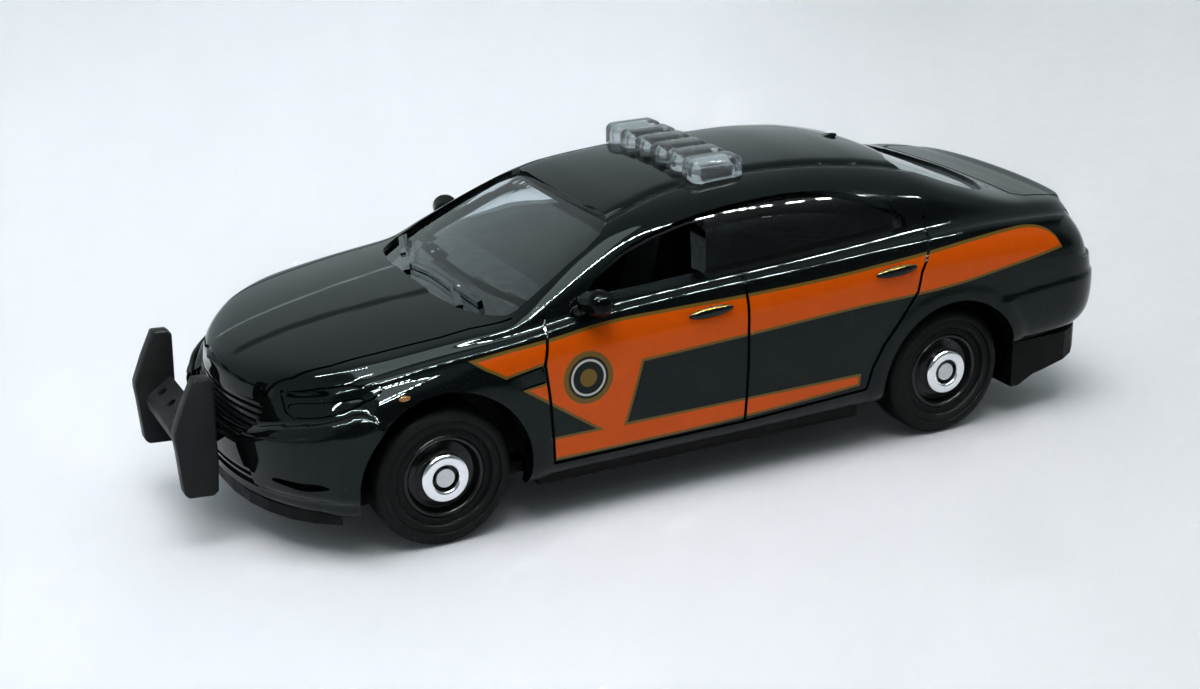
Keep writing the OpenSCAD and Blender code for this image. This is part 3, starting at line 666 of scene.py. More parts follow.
@kept
def livery_paint():
    """Black paint with the printed side bands, their thin outline and a plain roundel."""
    f = Finish("livery_paint", Specular_IOR_Level=0.17)
    gloss(f, rgb(colours().paint))
    black = f.shader.inputs["Base Color"].links[0].from_socket
    parts = f.node("ShaderNodeSeparateXYZ", f.place)
    x, y, z = (f.math("DIVIDE", parts.outputs[i], MM) for i in range(3))
    top = f.minus(side_line(f, x, BAND_TOP), z)
    flare = f.minus(f.distance(x, z, (axle_x, FRONT_ARCH_Z)), FLARE_EDGE)
    tip = half_plane(f, x, z, *TIP_EDGE)
    outside = f.least(top, flare, tip)
    band = f.least(outside, f.minus(z, side_line(f, x, BAND_LOW)))
    above = f.minus(z, side_line(f, x, STRIP_LOW))
    front = f.least(outside, above, half_plane(f, x, z, *INSET_FRONT[::-1]))
    lower = f.least(above, flare, f.minus(INSET_LOW, z), f.minus(x, STRIP_REAR))
    cutout = f.least(f.minus(x, CUTOUT_REAR), half_plane(f, x, z, *CUTOUT_LOW),
                     half_plane(f, x, z, *CUTOUT_TOP))
    depth = f.math("ABSOLUTE", y)
    printed = f.least(f.most(band, front, lower), f.math("MULTIPLY", cutout, -1.0),
                      f.minus(PRINT_FRONT, x), f.minus(depth, PRINT_DEPTH))
    edge, width = PRINT_BLUR, OUTLINE_WIDTH
    orange = f.mix(f.noise(1500, 2), rgb(colours().band_shade), rgb(colours().band))
    colour = f.mix(f.ramp(printed, -edge, edge), black, rgb(colours().outline))
    colour = f.mix(f.ramp(printed, width - edge, width + edge), colour, orange)
    radius = f.distance(x, z, ROUNDEL)
    for share, tone in ROUNDEL_RINGS:
        limit = ROUNDEL_RADIUS * share
        inside = f.least(f.ramp(radius, limit + edge, limit - edge),
                         f.ramp(depth, PRINT_DEPTH - 0.1, PRINT_DEPTH))
        colour = f.mix(inside, colour, rgb(getattr(colours(), tone)))
    f.set("Base Color", colour)
    return f


# in metres: how far out the side glass begins, and where the rear window is less clear
SIDE_GLASS, SIDE_TONE = (0.0094, 0.0104), (0.33, 0.38, 0.4)
REAR_GLASS, REAR_CLARITY = (-0.0195, -0.0165), 0.78


@kept
def clear_plastic():
    """Clear plastic with a faint haze, darker in the side glass and duller in the rear window."""
    f = Finish("clear_plastic", Transmission_Weight=1.0, IOR=1.45, Roughness=0.02)
    tone = f.mix(f.noise(600, 3), rgb(colours().glass_shade), rgb(colours().glass))
    parts = f.node("ShaderNodeSeparateXYZ", f.place)
    across = f.math("ABSOLUTE", parts.outputs[1])
    f.set("Transmission Weight", f.ramp(parts.outputs[0], *REAR_GLASS, REAR_CLARITY, 1.0))
    f.set("Base Color", f.mix(f.ramp(across, *SIDE_GLASS), tone, rgb(SIDE_TONE)))
    return f


@kept
def lamp_plastic():
    """Clear plastic with a rough, hazy gloss."""
    f = Finish("lamp_plastic", Transmission_Weight=0.93, IOR=1.32, Roughness=0.13)
    f.set("Base Color", f.mix(f.noise(900, 3), rgb(colours().glass_shade), rgb(colours().lamp)))
    return f


@kept
def matt_plastic():
    f = Finish("matt_plastic", Specular_IOR_Level=0.15)
    cloud = f.wear(rgb(colours().trim), 0.2, 700, (0.42, 0.6))
    f.bump(f.math("ADD", f.noise(9000, 2), f.math("MULTIPLY", cloud, 0.4)), 0.00002, 0.5)
    return f


# plain finishes: sockets, colour or its setting, wear (shift, scale, roughness), grain's noise, its bump
PLAIN = {
    "base_plastic": ({"Specular_IOR_Level": 0.08}, "base", (0.25, 500, (0.35, 0.55)), (6000, 2),
                     (0.00002, 0.4)),
    "cabin_plastic": ({"Specular_IOR_Level": 0.3}, "cabin", (0.2, 800, (0.5, 0.7)), (5000, 3),
                      (0.00004, 0.5)),
    "tyre_plastic": ({"Specular_IOR_Level": 0.09}, "tyre", (0.2, 900, (0.45, 0.62)), (7000, 2),
                     (0.00002, 0.4)),
    "rim_plastic": ({"Specular_IOR_Level": 0.25}, "paint", (0.3, 900, (0.12, 0.22)), None, None),
    "chrome": ({"Metallic": 1.0}, (0.86, 0.87, 0.89), (0.06, 2500, (0.06, 0.16)), (3500, 2),
               (0.00001, 0.4)),
    "steel": ({"Metallic": 1.0}, (0.5, 0.51, 0.52), (0.15, 4000, (0.3, 0.5)), (6000, 3, (1, 0.1, 1)),
              (0.00001, 0.5)),
    # gold print, also used as a painted highlight on the tops of the door handles
    "gold_print": ({"Metallic": 0.7}, "outline", (0.2, 3000, (0.25, 0.4)), None, None),
    "amber_lens": ({"Coat_Weight": 0.6, "Coat_Roughness": 0.05}, (0.32, 0.13, 0.015),
                   (0.3, 2500, (0.1, 0.2)), None, None),
    "dark_chrome": ({"Specular_IOR_Level": 0.3}, (0.008, 0.0085, 0.009), (0.3, 2000, (0.12, 0.25)),
                    None, None),
}


def plain(name):
    """One of the plain finishes, built the first time it is asked for."""
    found = bpy.data.materials.get(name + "_finish")
    if found:
        return found
    sockets, colour, wear, grain, bump = PLAIN[name]
    f = Finish(name, **sockets)
    f.wear(getattr(colours(), colour) if isinstance(colour, str) else colour, *wear)
    if grain:
        f.bump(f.noise(*grain), *bump)
    return f.material


@kept
def floor_card():
    """Pale card with painted shade: its colour darkens slowly towards the car's tail."""
    f = Finish("floor_card", Specular_IOR_Level=0.3)
    along = f.node("ShaderNodeVectorMath", f.place, (-0.9, 0.44, 0), operation="DOT_PRODUCT").outputs[1]
    # painted shade: the card's colour is darkened towards one side, plus a faint random mottle
    shade_and_mottle = f.math("ADD", f.ramp(along, -0.01, 0.06), f.math("MULTIPLY", f.noise(12, 2), 0.06))
    f.set("Base Color", f.mix(shade_and_mottle, rgb(colours().floor), rgb(colours().floor_shade)))
    f.set("Roughness", f.ramp(f.noise(300), 0.3, 0.7, 0.5, 0.65))
    f.bump(f.noise(900, 3), 0.00005, 0.15)
    return f


# rows of lamps, in metres: half length and middle of each, spacing and lit share of the lamps
LAMP_ROWS = [(0.38, (-0.05, 0.22, 0.55)), (0.22, (0.32, 0.02, 0.55)), (0.2, (0.2, 0.3, 0.55))]
LAMP_SPACING, LAMP_SHARE, LAMP_STRENGTH, ROW_HALF_WIDTH, ROW_TURN = 0.022, 0.55, 900.0, 0.005, 160


@kept
def lamp_row():
    """Rows of small bright lamps, with dark gaps along x."""
    f = Finish("lamp_row", Emission_Color=(1, 1, 1, 1))
    x = f.node("ShaderNodeSeparateXYZ", f.place).outputs[0]
    on = f.math("LESS_THAN", f.math("FRACT", f.math("DIVIDE", x, LAMP_SPACING)), LAMP_SHARE)
    f.set("Emission Strength", f.math("MULTIPLY", on, LAMP_STRENGTH))
    return f


# ---- outlines in millimetres: side views are [x, z], top views [x, y], end views [y, z] ----
SIDE_WINDOW = [(9.6, 15.1), (6.6, 15.1), (-0.5, 15.45), (-8, 15.8), (-12, 16), (-17.2, 16.2),
               (-17.9, 16.8), (-16.9, 17.9), (-15.2, 18.7), (-13.4, 19.25), (-11.1, 19.65),
               (-7.6, 19.8), (-4, 19.7), (-2, 19.5), (0.2, 19.25), (2.7, 18.8), (5.2, 18.1), (7.6, 16.9)]
FRONT_WINDOW = [(10.5, 14.6), (-0.55, 14.6), (-0.55, 15.45), (-1.65, 18.85), (0.2, 18.7),
                (2.7, 18.25), (5.2, 17.55), (7.6, 16.4), (9.2, 15.5)]
WINDSCREEN = [(14, -11), (15.3, -9.8), (16.4, -8.3), (17.2, -4.6), (17.4, 0), (17.2, 4.6),
              (16.4, 8.3), (15.3, 9.8), (14, 11), (5, 8.95), (5.5, 4), (5.6, 0), (5.5, -4), (5, -8.95)]
BACKLIGHT = [(-18.9, 7.2), (-20.6, 3.6), (-21.2, 0), (-20.6, -3.6), (-18.9, -7.2), (-26.4, -9.7),
             (-28.6, -5), (-29.4, 0), (-28.6, 5), (-26.4, 9.7)]
DOOR_LINES = [[(12.3, 14.75), (12.6, 13.6), (13.15, 11.9), (12.9, 9.3), (12.62, 4.6)],
              [(12.62, 4.6), (-2.5, 4.72), (-12.9, 5.2)],
              [(-3.0, 15.3), (-2.68, 11.7), (-2.5, 4.72)],
              [(-19.37, 17.0), (-18.7, 15.3), (-17.5, 13.6), (-17.1, 12.2), (-15.6, 10.3), (-14.2, 8.6),
               (-13.3, 6.9), (-12.9, 5.2)]]
BONNET_LINE = [(14.24, 11.2), (17.15, 10.72), (19.33, 10.69), (23.7, 10.07), (26.75, 9.48), (29.02, 8.43),
               (30.6, 6.88), (31.45, 4.76), (32.0, 2.5), (32.1, 0)]
BOOT_LINE = [(-29.7, 0), (-29.5, 8.6), (-30.4, 9.3), (-34.6, 9.1)]
BOOT_END = [(9.1, 15.6), (8.9, 12.2), (8.2, 11.3), (0, 11.2)]
HEADLAMP = [(29.8, 10.0), (29.8, 11.2), (29.19, 11.33), (27.78, 11.78), (26.38, 12.06), (24.6, 12.22),
            (24.3, 12.0), (25.18, 11.45), (26.16, 10.92), (27.05, 10.55), (28.36, 10.1), (29.5, 9.78)]
LAMP_SLOTS = [[(29.6, 10.85), (29.5, 11.2), (27.5, 11.75), (27.25, 11.5)],
              [(29.7, 10.1), (29.55, 10.6), (27.4, 11.15), (25.7, 11.5), (25.4, 11.3), (26.5, 10.85),
               (28, 10.32)]]
FOG_SLOT = [(31.3, 5.56), (30.6, 5.4), (29.88, 5.24), (28.97, 5.42), (28.27, 5.68), (29.1, 5.97),
            (29.88, 5.84), (31.2, 5.9)]
VENT = [(16.3, 11.35), (13.38, 11.85), (13.2, 10.78), (15.0, 10.58)]
TAIL_LAMP = [(-31.3, 15.4), (-30.76, 14.0), (-31.7, 12.8), (-33.2, 12.1), (-37, 12.1), (-37, 15.4)]
UPRIGHT = [(-1.75, 12.32), (-2.8, 12.23), (-3.1, 11.95), (-2.95, 7.5), (-2.95, 6.3), (-2.75, 4.05),
           (-2.4, 3.8), (-0.7, 3.92), (-0.4, 4.23), (-0.2, 7.3), (-0.1, 8.2), (-0.12, 8.7), (-0.86, 10.5)]
CROSS_MEMBER = [(-0.7, 7.5), (-2.75, 8.9), (-2.9, 8), (-2.2, 6.2), (-0.8, 6.7)]
HANDLES, HANDLE_SLOPE = [(0.2, 13.45), (-15.3, 14.0)], 3
WIPER_NEAR = [(16.0, -2.8), (15.6, 0), (15.5, 3.96), (16.4, 7.2)]
WIPER_FAR = [(16.9, -1.6), (15.4, -6), (13.9, -9.6)]
BLADE_NEAR = [(15.4, 4.4), (15.1, 7.9)]
BLADE_FAR = [(15.8, -5), (14.2, -9.2)]


def mirrored(mesh):
    """The same bmesh on the car's right."""
    copy = mesh.copy()
    bmesh.ops.scale(copy, vec=(1, -1, 1), verts=copy.verts)
    bmesh.ops.reverse_faces(copy, faces=copy.faces)
    return copy


def pair(mesh):
    """A bmesh on the left together with its mirror on the right."""
    return joined([mirrored(mesh), mesh])


def inward(outline, gap):
    """An outline drawn in by a gap."""
    points = np.array(outline, float)
    ahead, behind = np.roll(points, -1, 0) - points, points - np.roll(points, 1, 0)
    area = np.sum(points[:, 0] * np.roll(points[:, 1], -1) - np.roll(points[:, 0], -1) * points[:, 1])
    turn = np.array([[0, 1], [-1, 0]]) * np.sign(area)
    square = [d @ turn / np.linalg.norm(d, axis=1)[:, None] for d in (ahead, behind)]
    lean = square[0] + square[1]
    return points - gap * lean / np.maximum(np.sum(lean * square[0], axis=1), 0.4)[:, None]


def window_prisms(gap=0.0):
    """Closed prisms through the four openings of the casting."""
    side, front, back = (rounded(inward(o, gap)) for o in (SIDE_WINDOW, WINDSCREEN, BACKLIGHT))
    return [pair(prism(side, "y", 6, 20)), joined([prism(front, "z", 12, 30), prism(back, "z", 12.2, 30)])]


def pocket(thing, tool, depth):
    """Sinks a shape into the casting, to an even depth below its surface."""
    tool = combine(loose(tool), body_solid(170, 110, depth), "DIFFERENCE")
    return combine(thing, tool)


def cut_lines(thing, skin, width, depth):
    """Cuts the door, bonnet, boot and lamp lines."""
    lines = []
    for line in DOOR_LINES + [HEADLAMP + HEADLAMP[:1], VENT + VENT[:1]]:
        thin = 0.7 if line[0] in (HEADLAMP[0], VENT[0]) else 1
        bar = strip(skin.trace(line, "left"), width * thin, 0.3, depth * thin)
        lines += [mirrored(bar), bar]
    for line, way in ((BONNET_LINE, "top"), (BOOT_LINE, "top"), (BOOT_END, "back")):
        bar = strip(skin.trace(line, way), width, 0.3, depth)
        lines += [mirrored(bar), bar]
    whole = loose(lines[0])
    for line in lines[1:]:
        combine(whole, line, "UNION")
    return combine(thing, whole)


def livery_faces(shape):
    """The true surface normals at the outer faces' corners, and each face's paint: 0 printed, 1 plain."""
    layer = shape.uv_layers["surface"]
    marks = np.empty(len(shape.loops) * 2)
    layer.data.foreach_get("uv", marks)
    marks = marks.reshape(-1, 2)
    outside = (marks > 0.5).all(1)
    normals = np.zeros((len(marks), 3))
    height = marks[outside, 1] - 1
    level = np.where(height <= ROOF, -height, 2 * ROOF - height)
    normals[outside] = normals_at(marks[outside, 0] - 1, level)
    slots = []
    for face in shape.polygons:
        on = outside[face.loop_start:face.loop_start + face.loop_total].all()
        on = on and face.normal.y * math.copysign(1, face.center.y) > -0.3
        slots.append(0 if on else 1)
        if not on:
            normals[face.loop_start:face.loop_start + face.loop_total] = 0
    return normals, slots


def make_casting():
    width, depth = sizes().line_width / MM, sizes().line_depth / MM
    skin = Skin()
    thing = loose(body_solid(300, 200, marked=True), "body_shell")
    combine(thing, body_solid(120, 70, SHELL, -2))
    for tool in window_prisms():
        combine(thing, tool)
    for x, z, radius in ARCHES:
        combine(thing, pair(drum((x, 15, z), (0, 1, 0), radius, 12)))
    pocket(thing, pair(joined([prism(rounded(o), "y", 7, 20) for o in LAMP_SLOTS])), 0.32)
    pocket(thing, pair(prism(rounded(FOG_SLOT), "y", 6, 20)), 0.45)
    pocket(thing, joined([block((30, -6.6, 7.45), (36, 6.6, 10.2), 0.3),
                          block((30, -7.4, 4.3), (36, 7.4, 5.9), 0.3)]), 0.6)
    pocket(thing, pair(prism(rounded(TAIL_LAMP), "y", 9.6, 20)), 0.14)
    cut_lines(thing, skin, width, depth)
    normals, slots = livery_faces(thing.data)
    hand_over(thing, "body_shell", [livery_paint(), black_paint()], smooth=32,
              replaces=["body_casting"])
    thing.data.polygons.foreach_set("material_index", slots)
    thing.data.normals_split_custom_set([tuple(n) for n in normals])
    return skin


def make_trim(skin):
    """Mirrors, handles, lamps and grille bars on the casting."""
    mirror = egg((8.9, 13.9, 15.6), (1, 1.1, 0.95))
    ball(mirror, (9.3, 13.1, 15.4), 0.85)
    arm = egg((9.3, 13.1, 15.2), (0.6, 0.5, 0.5))
    ball(arm, (9.9, 12.5, 14.7), 0.5)
    for shape in (mirror, arm):
        bmesh.ops.convex_hull(shape, input=shape.verts)
        bmesh.ops.delete(shape, geom=[v for v in shape.verts if not v.link_faces], context="VERTS")
    hand_over(pair(joined([mirror, arm])), "door_mirrors", black_paint(), smooth=50)
    grips = []
    for x, z in HANDLES:
        place, normal = skin.spot(x, z, "left")
        grip = egg(place + normal * 0.12, (1.8, 0.36, 0.4))
        bmesh.ops.rotate(grip, verts=grip.verts, cent=place,
                         matrix=Matrix.Rotation(math.radians(HANDLE_SLOPE), 3, "Y"))
        grips.append(grip)
    thing = hand_over(pair(joined(grips)), "door_handles", [black_paint(), plain("gold_print")],
                      smooth=60)
    # painted highlight: the handles' upward faces take the gold print, which also stands in for the light
    # along their tops
    for face in thing.data.polygons:
        face.material_index = int(face.normal.z > 0.72)
    place, normal = skin.spot(23.2, 11.4, "left")
    hand_over(pair(egg(place, (0.42, 0.16, 0.2))), "side_markers", plain("amber_lens"))
    place, normal = skin.spot(-18.2, 0, "top")
    hand_over(egg(place, (0.8, 0.22, 0.24)), "roof_fin", black_paint())
    bars = [block((29, -6.9, z), (36, 6.9, z + 0.2)) for z in np.arange(7.75, 10, 0.42)]
    bars += [block((29, -7.7, z), (36, 7.7, z + 0.2)) for z in (4.7, 5.25)]
    grille = combine(loose(joined(bars)), body_solid(170, 110, 0.22), "INTERSECT")
    combine(grille, body_solid(170, 110, 0.75))
    hand_over(grille, "grille_bars", plain("dark_chrome"))


def make_glazing():
    """The clear moulding: windscreen, rear window, side glass and its lining under the roof."""
    gap = sizes().glass_gap / MM
    inside = GLASS_INSET + GLASS_WALL
    panes = combine(loose(body_solid(220, 150, PANE_INSET)), body_solid(140, 100, GLASS_INSET + 0.3, -2))
    openings = loose(window_prisms(gap)[0])
    combine(openings, window_prisms(gap)[1], "UNION")
    combine(panes, openings, "INTERSECT")
    lining = combine(loose(body_solid(160, 110, GLASS_INSET, 1)), body_solid(140, 100, inside, -2))
    reach = loose(block((-30.1, -9.6, 14.3), (18.5, 9.6, 40)))
    combine(reach, block((-18.9, -14, 15.1), (10.6, 14, 41)), "UNION")
    combine(lining, reach, "INTERSECT")
    combine(lining, panes, "UNION")
    combine(lining, pair(prism(FRONT_WINDOW, "y", 6, 21)))
    skin = Skin(PANE_INSET)
    for path in (WIPER_NEAR, WIPER_FAR):
        combine(lining, strip(skin.trace(path, "top"), 0.5, 0.45, 0.3), "UNION")
    for path in (BLADE_NEAR, BLADE_FAR):
        combine(lining, strip(skin.trace(path, "top"), 0.42, 0.62, 0.2), "UNION")
    hand_over(lining, "clear_moulding", clear_plastic(), smooth=32,
              replaces=["window_moulding"])


# light bar: rail's inset at the ends, gap and wall round a cell's hollow, and the depth of the rail
RAIL_END, CELL_GAP, END_WALL, SIDE_WALL, RAIL_DEPTH, CORE_GAP = 0.35, 0.07, 0.75, 0.5, 3, 0.12


def make_light_bar():
    """Clear cells on a rail, each with a dark tray and a dark front reflector inside."""
    rear, front, top, half = bar_low.x, bar_high.x, bar_high.z, (bar_high.y - bar_low.y) / 2
    count, edge = sizes().bar_cells, sizes().bar_edge / MM
    low = top - RAIL_DEPTH
    bar = loose(block((rear + RAIL_END, 0.15 - half, low), (front - RAIL_END, half - 0.15, top - 0.6)))
    hollows = []
    for i in range(count):
        right, left = (2 * half / count * (i + k) - half for k in (0, 1))
        cell = block((rear, right + CELL_GAP, low - 0.2), (front, left - CELL_GAP, top), edge, 5)
        combine(bar, cell, "UNION")
        hollows.append((rear + END_WALL, right + SIDE_WALL, front - END_WALL, left - SIDE_WALL))
    combine(bar, body_solid(170, 130, -0.05))
    for x0, y0, x1, y1 in hollows:
        combine(bar, block((x0, y0, low - 1), (x1, y1, top - 0.62), 0.2, 3))
    hand_over(bar, "light_bar_cells", lamp_plastic(), smooth=32, replaces=["light_bar"])
    skin = Skin()
    cups = []
    for x0, y0, x1, y1 in hollows:
        middle, ahead, gap = (x0 + x1) / 2, x1 - CORE_GAP, CORE_GAP
        floor = skin.spot(middle, (y0 + y1) / 2, "top")[0].z + 0.06
        cups.append(block((x0 + gap, y0 + gap, floor), (ahead, y1 - gap, floor + 0.5), 0.1, 2))
        cups.append(block((middle, y0 + 0.25, floor), (ahead, y1 - 0.25, top - 0.9), 0.15, 2))
    hand_over(joined(cups), "light_bar_cores", matt_plastic())


def make_wheels():
    """Tyres with a stepped side wall, dished rims and bright rings."""
    inner, face, hub = tyre_low.y, tyre_face, 0.55
    (rim_low, rim_high), (ring_low, ring_high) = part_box("rim_front_left"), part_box("ring_front_left")
    seat, ring = (rim_high.z - rim_low.z) / 2 / MM + 0.02, (ring_high.z - ring_low.z) / 2 / MM
    tyre = [(seat, inner + 0.2), (4.0, inner + 0.04), (4.45, inner), (4.75, inner + 0.1),
            (4.93, inner + 0.32), (tyre_radius, inner + 0.75), (tyre_radius, face - 0.85),
            (4.96, face - 0.55), (4.86, face - 0.32), (4.68, face - 0.16), (4.45, face - 0.05),
            (4.2, face), (4.12, face - 0.03), (4.08, face - 0.16), (3.62, face - 0.08),
            (3.53, face - 0.1), (3.48, face - 0.17), (3.44, face - 0.36), (seat, face - 0.28)]
    dish = [(hub, inner + 0.15), (1.2, inner + 0.15), (1.2, inner + 0.9), (seat - 0.02, inner + 0.9),
            (seat - 0.02, face - 0.38), (seat - 0.06, face - 0.3), (seat - 0.2, face - 0.24),
            (seat - 0.3, face - 0.28), (seat - 0.36, face - 0.4), (seat - 0.5, face - 0.92),
            (seat - 0.6, face - 1.02), (ring + 0.02, face - 1.1), (ring - 0.4, face - 1.1),
            (ring - 0.4, face - 0.6), (hub, face - 0.6)]
    bright = [(ring - 0.38, face - 1.05), (ring, face - 1.05), (ring, face - 0.12),
              (ring - 0.05, face + 0.02), (ring - 0.16, face + 0.11), (ring - 0.32, face + 0.15),
              (1.16, face + 0.15), (1.02, face + 0.12), (0.95, face), (0.95, face - 0.55),
              (ring - 0.38, face - 0.55)]
    for x, end in ((axle_x, "front"), (-axle_x, "rear")):
        for side, hand in ((1, "left"), (-1, "right")):
            body = f"wheel_{end}_{hand}"
            for part, profile, finish, sharp in (("tyre", tyre, "tyre_plastic", 40),
                                                 ("rim", dish, "rim_plastic", 50),
                                                 ("ring", bright, "chrome", 50)):
                node = f"{part}_{end}_{hand}"
                hand_over(turned(profile, x, side), node + "_finished", plain(finish), body,
                          [node], sharp)


# push bar: thickness of its plates, and the cross member's holes: spacing, radius and lean
PLATE, HOLE_SPACING, HOLE_RADIUS, HOLE_LEAN = 1.15, 2.45, 0.36, math.radians(34)


def make_push_bar():
    """Two plate uprights joined by a slanted cross member with four holes."""
    reach, half = push_high.x, (push_high.y - push_low.y) / 2
    upright, member = ([(reach + a, b) for a, b in outline] for outline in (UPRIGHT, CROSS_MEMBER))
    edge = sizes().push_bar_edge / MM
    bar = loose(pair(softened(prism(upright, "y", half - PLATE, half), edge, 3, 40)))
    cross = loose(softened(prism(member, "y", 0.4 - half, half - 0.4), 0.15, 2, 25))
    axis = (math.sin(HOLE_LEAN), 0, math.cos(HOLE_LEAN))
    for i in (-1.5, -0.5, 0.5, 1.5):
        combine(cross, drum((reach - 1.75, i * HOLE_SPACING, 8.15), axis, HOLE_RADIUS, 2.2, 40))
    combine(bar, cross, "UNION")
    combine(bar, block((reach - 5.3, -3, 6.4), (reach - 1.4, 3, 7.4)), "UNION")
    hand_over(bar, "push_bar_plates", matt_plastic(), smooth=32, replaces=["push_bar"])


# inner walls of the wheel arches: distance from the middle, reach past the arch, wall, and the pin's
# hole: radius and height
WELL_Y, WELL_EDGE, WELL_WALL, WELL_BORE, WELL_BORE_Z = 9.2, 0.8, 0.3, 0.7, 5


def make_wheel_wells():
    """Dark inner walls of the wheel arches, between the wheels and the cabin, pierced for the pins."""
    walls = [drum((x, WELL_Y, z), (0, 1, 0), radius + WELL_EDGE, WELL_WALL) for x, z, radius in ARCHES]
    wells = combine(loose(pair(joined(walls))), body_solid(120, 70, SHELL - 0.1, -2), "INTERSECT")
    combine(wells, block((-40, -12, -3), (40, 12, 4)))
    for x in (axle_x, -axle_x):
        combine(wells, drum((x, 0, WELL_BORE_Z), (0, 1, 0), WELL_BORE, 30))
    hand_over(wells, "wheel_wells", plain("base_plastic"))


def finish_cad_parts():
    """Gives the cabin, base and axles their finishes."""
    for node, finish in (("interior", plain("cabin_plastic")), ("base_plate", plain("base_plastic")),
                         ("front_axle", plain("steel")), ("rear_axle", plain("steel"))):
        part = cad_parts[node]
        part.data.materials.clear()
        part.data.materials.append(finish)


# parts of the sky that dim it: axis, and where the dark begins and is full, on the left and halfway up
SKY_DARK = [(1, 0.1, 0.45), (2, 0.0, 0.2), (2, 0.86, 0.66)]
SKY_COLOUR, SKY_BRIGHT, SKY_DIM = (0.83, 0.965, 0.99), 0.63, 0.13


def make_sky(scene):
    """Even pale light, dimmed halfway up on the car's left where the room is dark."""
    scene.world = bpy.data.worlds.new("studio")
    scene.world.use_nodes = True
    sky = Nodes(scene.world.node_tree)
    parts = sky.node("ShaderNodeSeparateXYZ", sky.node("ShaderNodeTexCoord").outputs["Generated"])
    dark = 1.0
    for axis, start, full in SKY_DARK:
        dark = sky.math("MULTIPLY", sky.ramp(parts.outputs[axis], start, full), dark)
    background = sky.tree.nodes["Background"].inputs
    background["Color"].default_value = rgb(SKY_COLOUR)
    level = sky.node("ShaderNodeMapRange", dark, 0.0, 1.0, SKY_BRIGHT, SKY_DIM).outputs[0]
    sky.feed(background["Strength"], level)


def make_lights():
    """A soft lamp overhead and the rows of small lamps that only gloss shows."""
    data = bpy.data.lights.new("overhead", "AREA")
    data.shape, data.size, data.size_y = "RECTANGLE", 0.45, 0.45
    data.energy, data.color = 3.2, (0.97, 0.98, 1)
    lamp = bpy.data.objects.new("overhead", data)
    bpy.context.scene.collection.objects.link(lamp)
    lamp.location = (0.1, 0.1, 0.7)
    lamp.rotation_euler = (-lamp.location).to_track_quat("-Z", "Y").to_euler()
    rows = []
    for reach, place in LAMP_ROWS:
        mesh = bmesh.new()
        bmesh.ops.create_grid(mesh, x_segments=1, y_segments=1, size=1)
        bmesh.ops.scale(mesh, vec=(reach, ROW_HALF_WIDTH, 1), verts=mesh.verts)
        bmesh.ops.rotate(mesh, verts=mesh.verts, cent=(0, 0, 0),
                         matrix=Matrix.Rotation(math.radians(ROW_TURN), 3, "X"))
        bmesh.ops.translate(mesh, vec=place, verts=mesh.verts)
        rows.append(mesh)
    row = loose(joined(rows), "lamp_row")
    row.data.materials.append(lamp_row())
    row.visible_diffuse = False


def make_camera(scene):
    """The camera, aimed by its azimuth, height and roll."""
    camera = bpy.data.cameras.new("camera")
    camera.lens, camera.sensor_width, camera.sensor_fit = 57.2, 36, "HORIZONTAL"
    camera.clip_start, camera.clip_end = 0.005, 20
    azimuth, height, roll = (math.radians(a) for a in (64.014, 19.979, -1.24))
    back = Vector((math.cos(height) * math.cos(azimuth), math.cos(height) * math.sin(azimuth),
                   math.sin(height)))
    right = (-back).cross(Vector((0, 0, 1))).normalized()
    up = right.cross(-back)
    across = right * math.cos(roll) + up * math.sin(roll)
    rise = up * math.cos(roll) - right * math.sin(roll)
    eye = bpy.data.objects.new("camera", camera)
    scene.collection.objects.link(eye)
    turn = Matrix((across, rise, back)).transposed().to_4x4()
    eye.matrix_world = Matrix.Translation(Vector((62.506, 123.787, 57.088)) * MM) @ turn
    scene.camera = eye


def make_stage():
    """Pale floor, sky, lights and the camera."""
    scene = bpy.context.scene
    mesh = bmesh.new()
    bmesh.ops.create_grid(mesh, x_segments=4, y_segments=4, size=3)
    floor = loose(mesh, "floor")
    floor.data.materials.append(floor_card())
    make_sky(scene)
    make_lights()
    make_camera(scene)
    scene.view_settings.view_transform = "Standard"


# ---- settings, operators and panel ----
def tint(name, description, default):
    return bpy.props.FloatVectorProperty(name=name, description=description, default=default, size=3,
                                         min=0, max=1, subtype="COLOR")


def length(name, description, default, low, high):
    return bpy.props.FloatProperty(name=name, description=description, default=default * MM, min=low * MM,
                                   max=high * MM, precision=5, unit="LENGTH", subtype="DISTANCE")


class ToyCarColours(bpy.types.PropertyGroup):
    """Colours of the toy, as linear values."""

    paint: tint("Paint", "Main paint of the body and rims", (0.0022, 0.0028, 0.0028))
    band: tint("Band", "Printed side bands", (0.66, 0.085, 0.0005))
    band_shade: tint("Band shade", "Darker tone within the side bands", (0.58, 0.073, 0.0005))
    outline: tint("Outline", "Thin metallic line round the bands", (0.15, 0.085, 0.014))
    pale: tint("Roundel", "Pale ring of the plain roundel", (0.55, 0.53, 0.48))
    glass: tint("Glass", "Clear moulding", (0.7, 0.77, 0.8))
    glass_shade: tint("Glass shade", "Darker cloud within the clear parts", (0.6, 0.67, 0.7))
    lamp: tint("Lamp cells", "Clear cells of the light bar", (0.5, 0.515, 0.525))
    trim: tint("Push bar", "Push bar and dark lamp cores", (0.0034, 0.005, 0.0052))
    base: tint("Base", "Base plate", (0.0014, 0.0017, 0.0017))
    cabin: tint("Cabin", "Seats and floor", (0.009, 0.0095, 0.0105))
    tyre: tint("Tyres", "Tyre plastic", (0.0022, 0.003, 0.003))
    floor: tint("Floor", "Card under the toy", (0.905, 0.895, 0.935))
    # painted shade: the card's darker colour on its dimmer side
    floor_shade: tint("Floor shade", "Card on the dimmer side", (0.715, 0.7, 0.712))


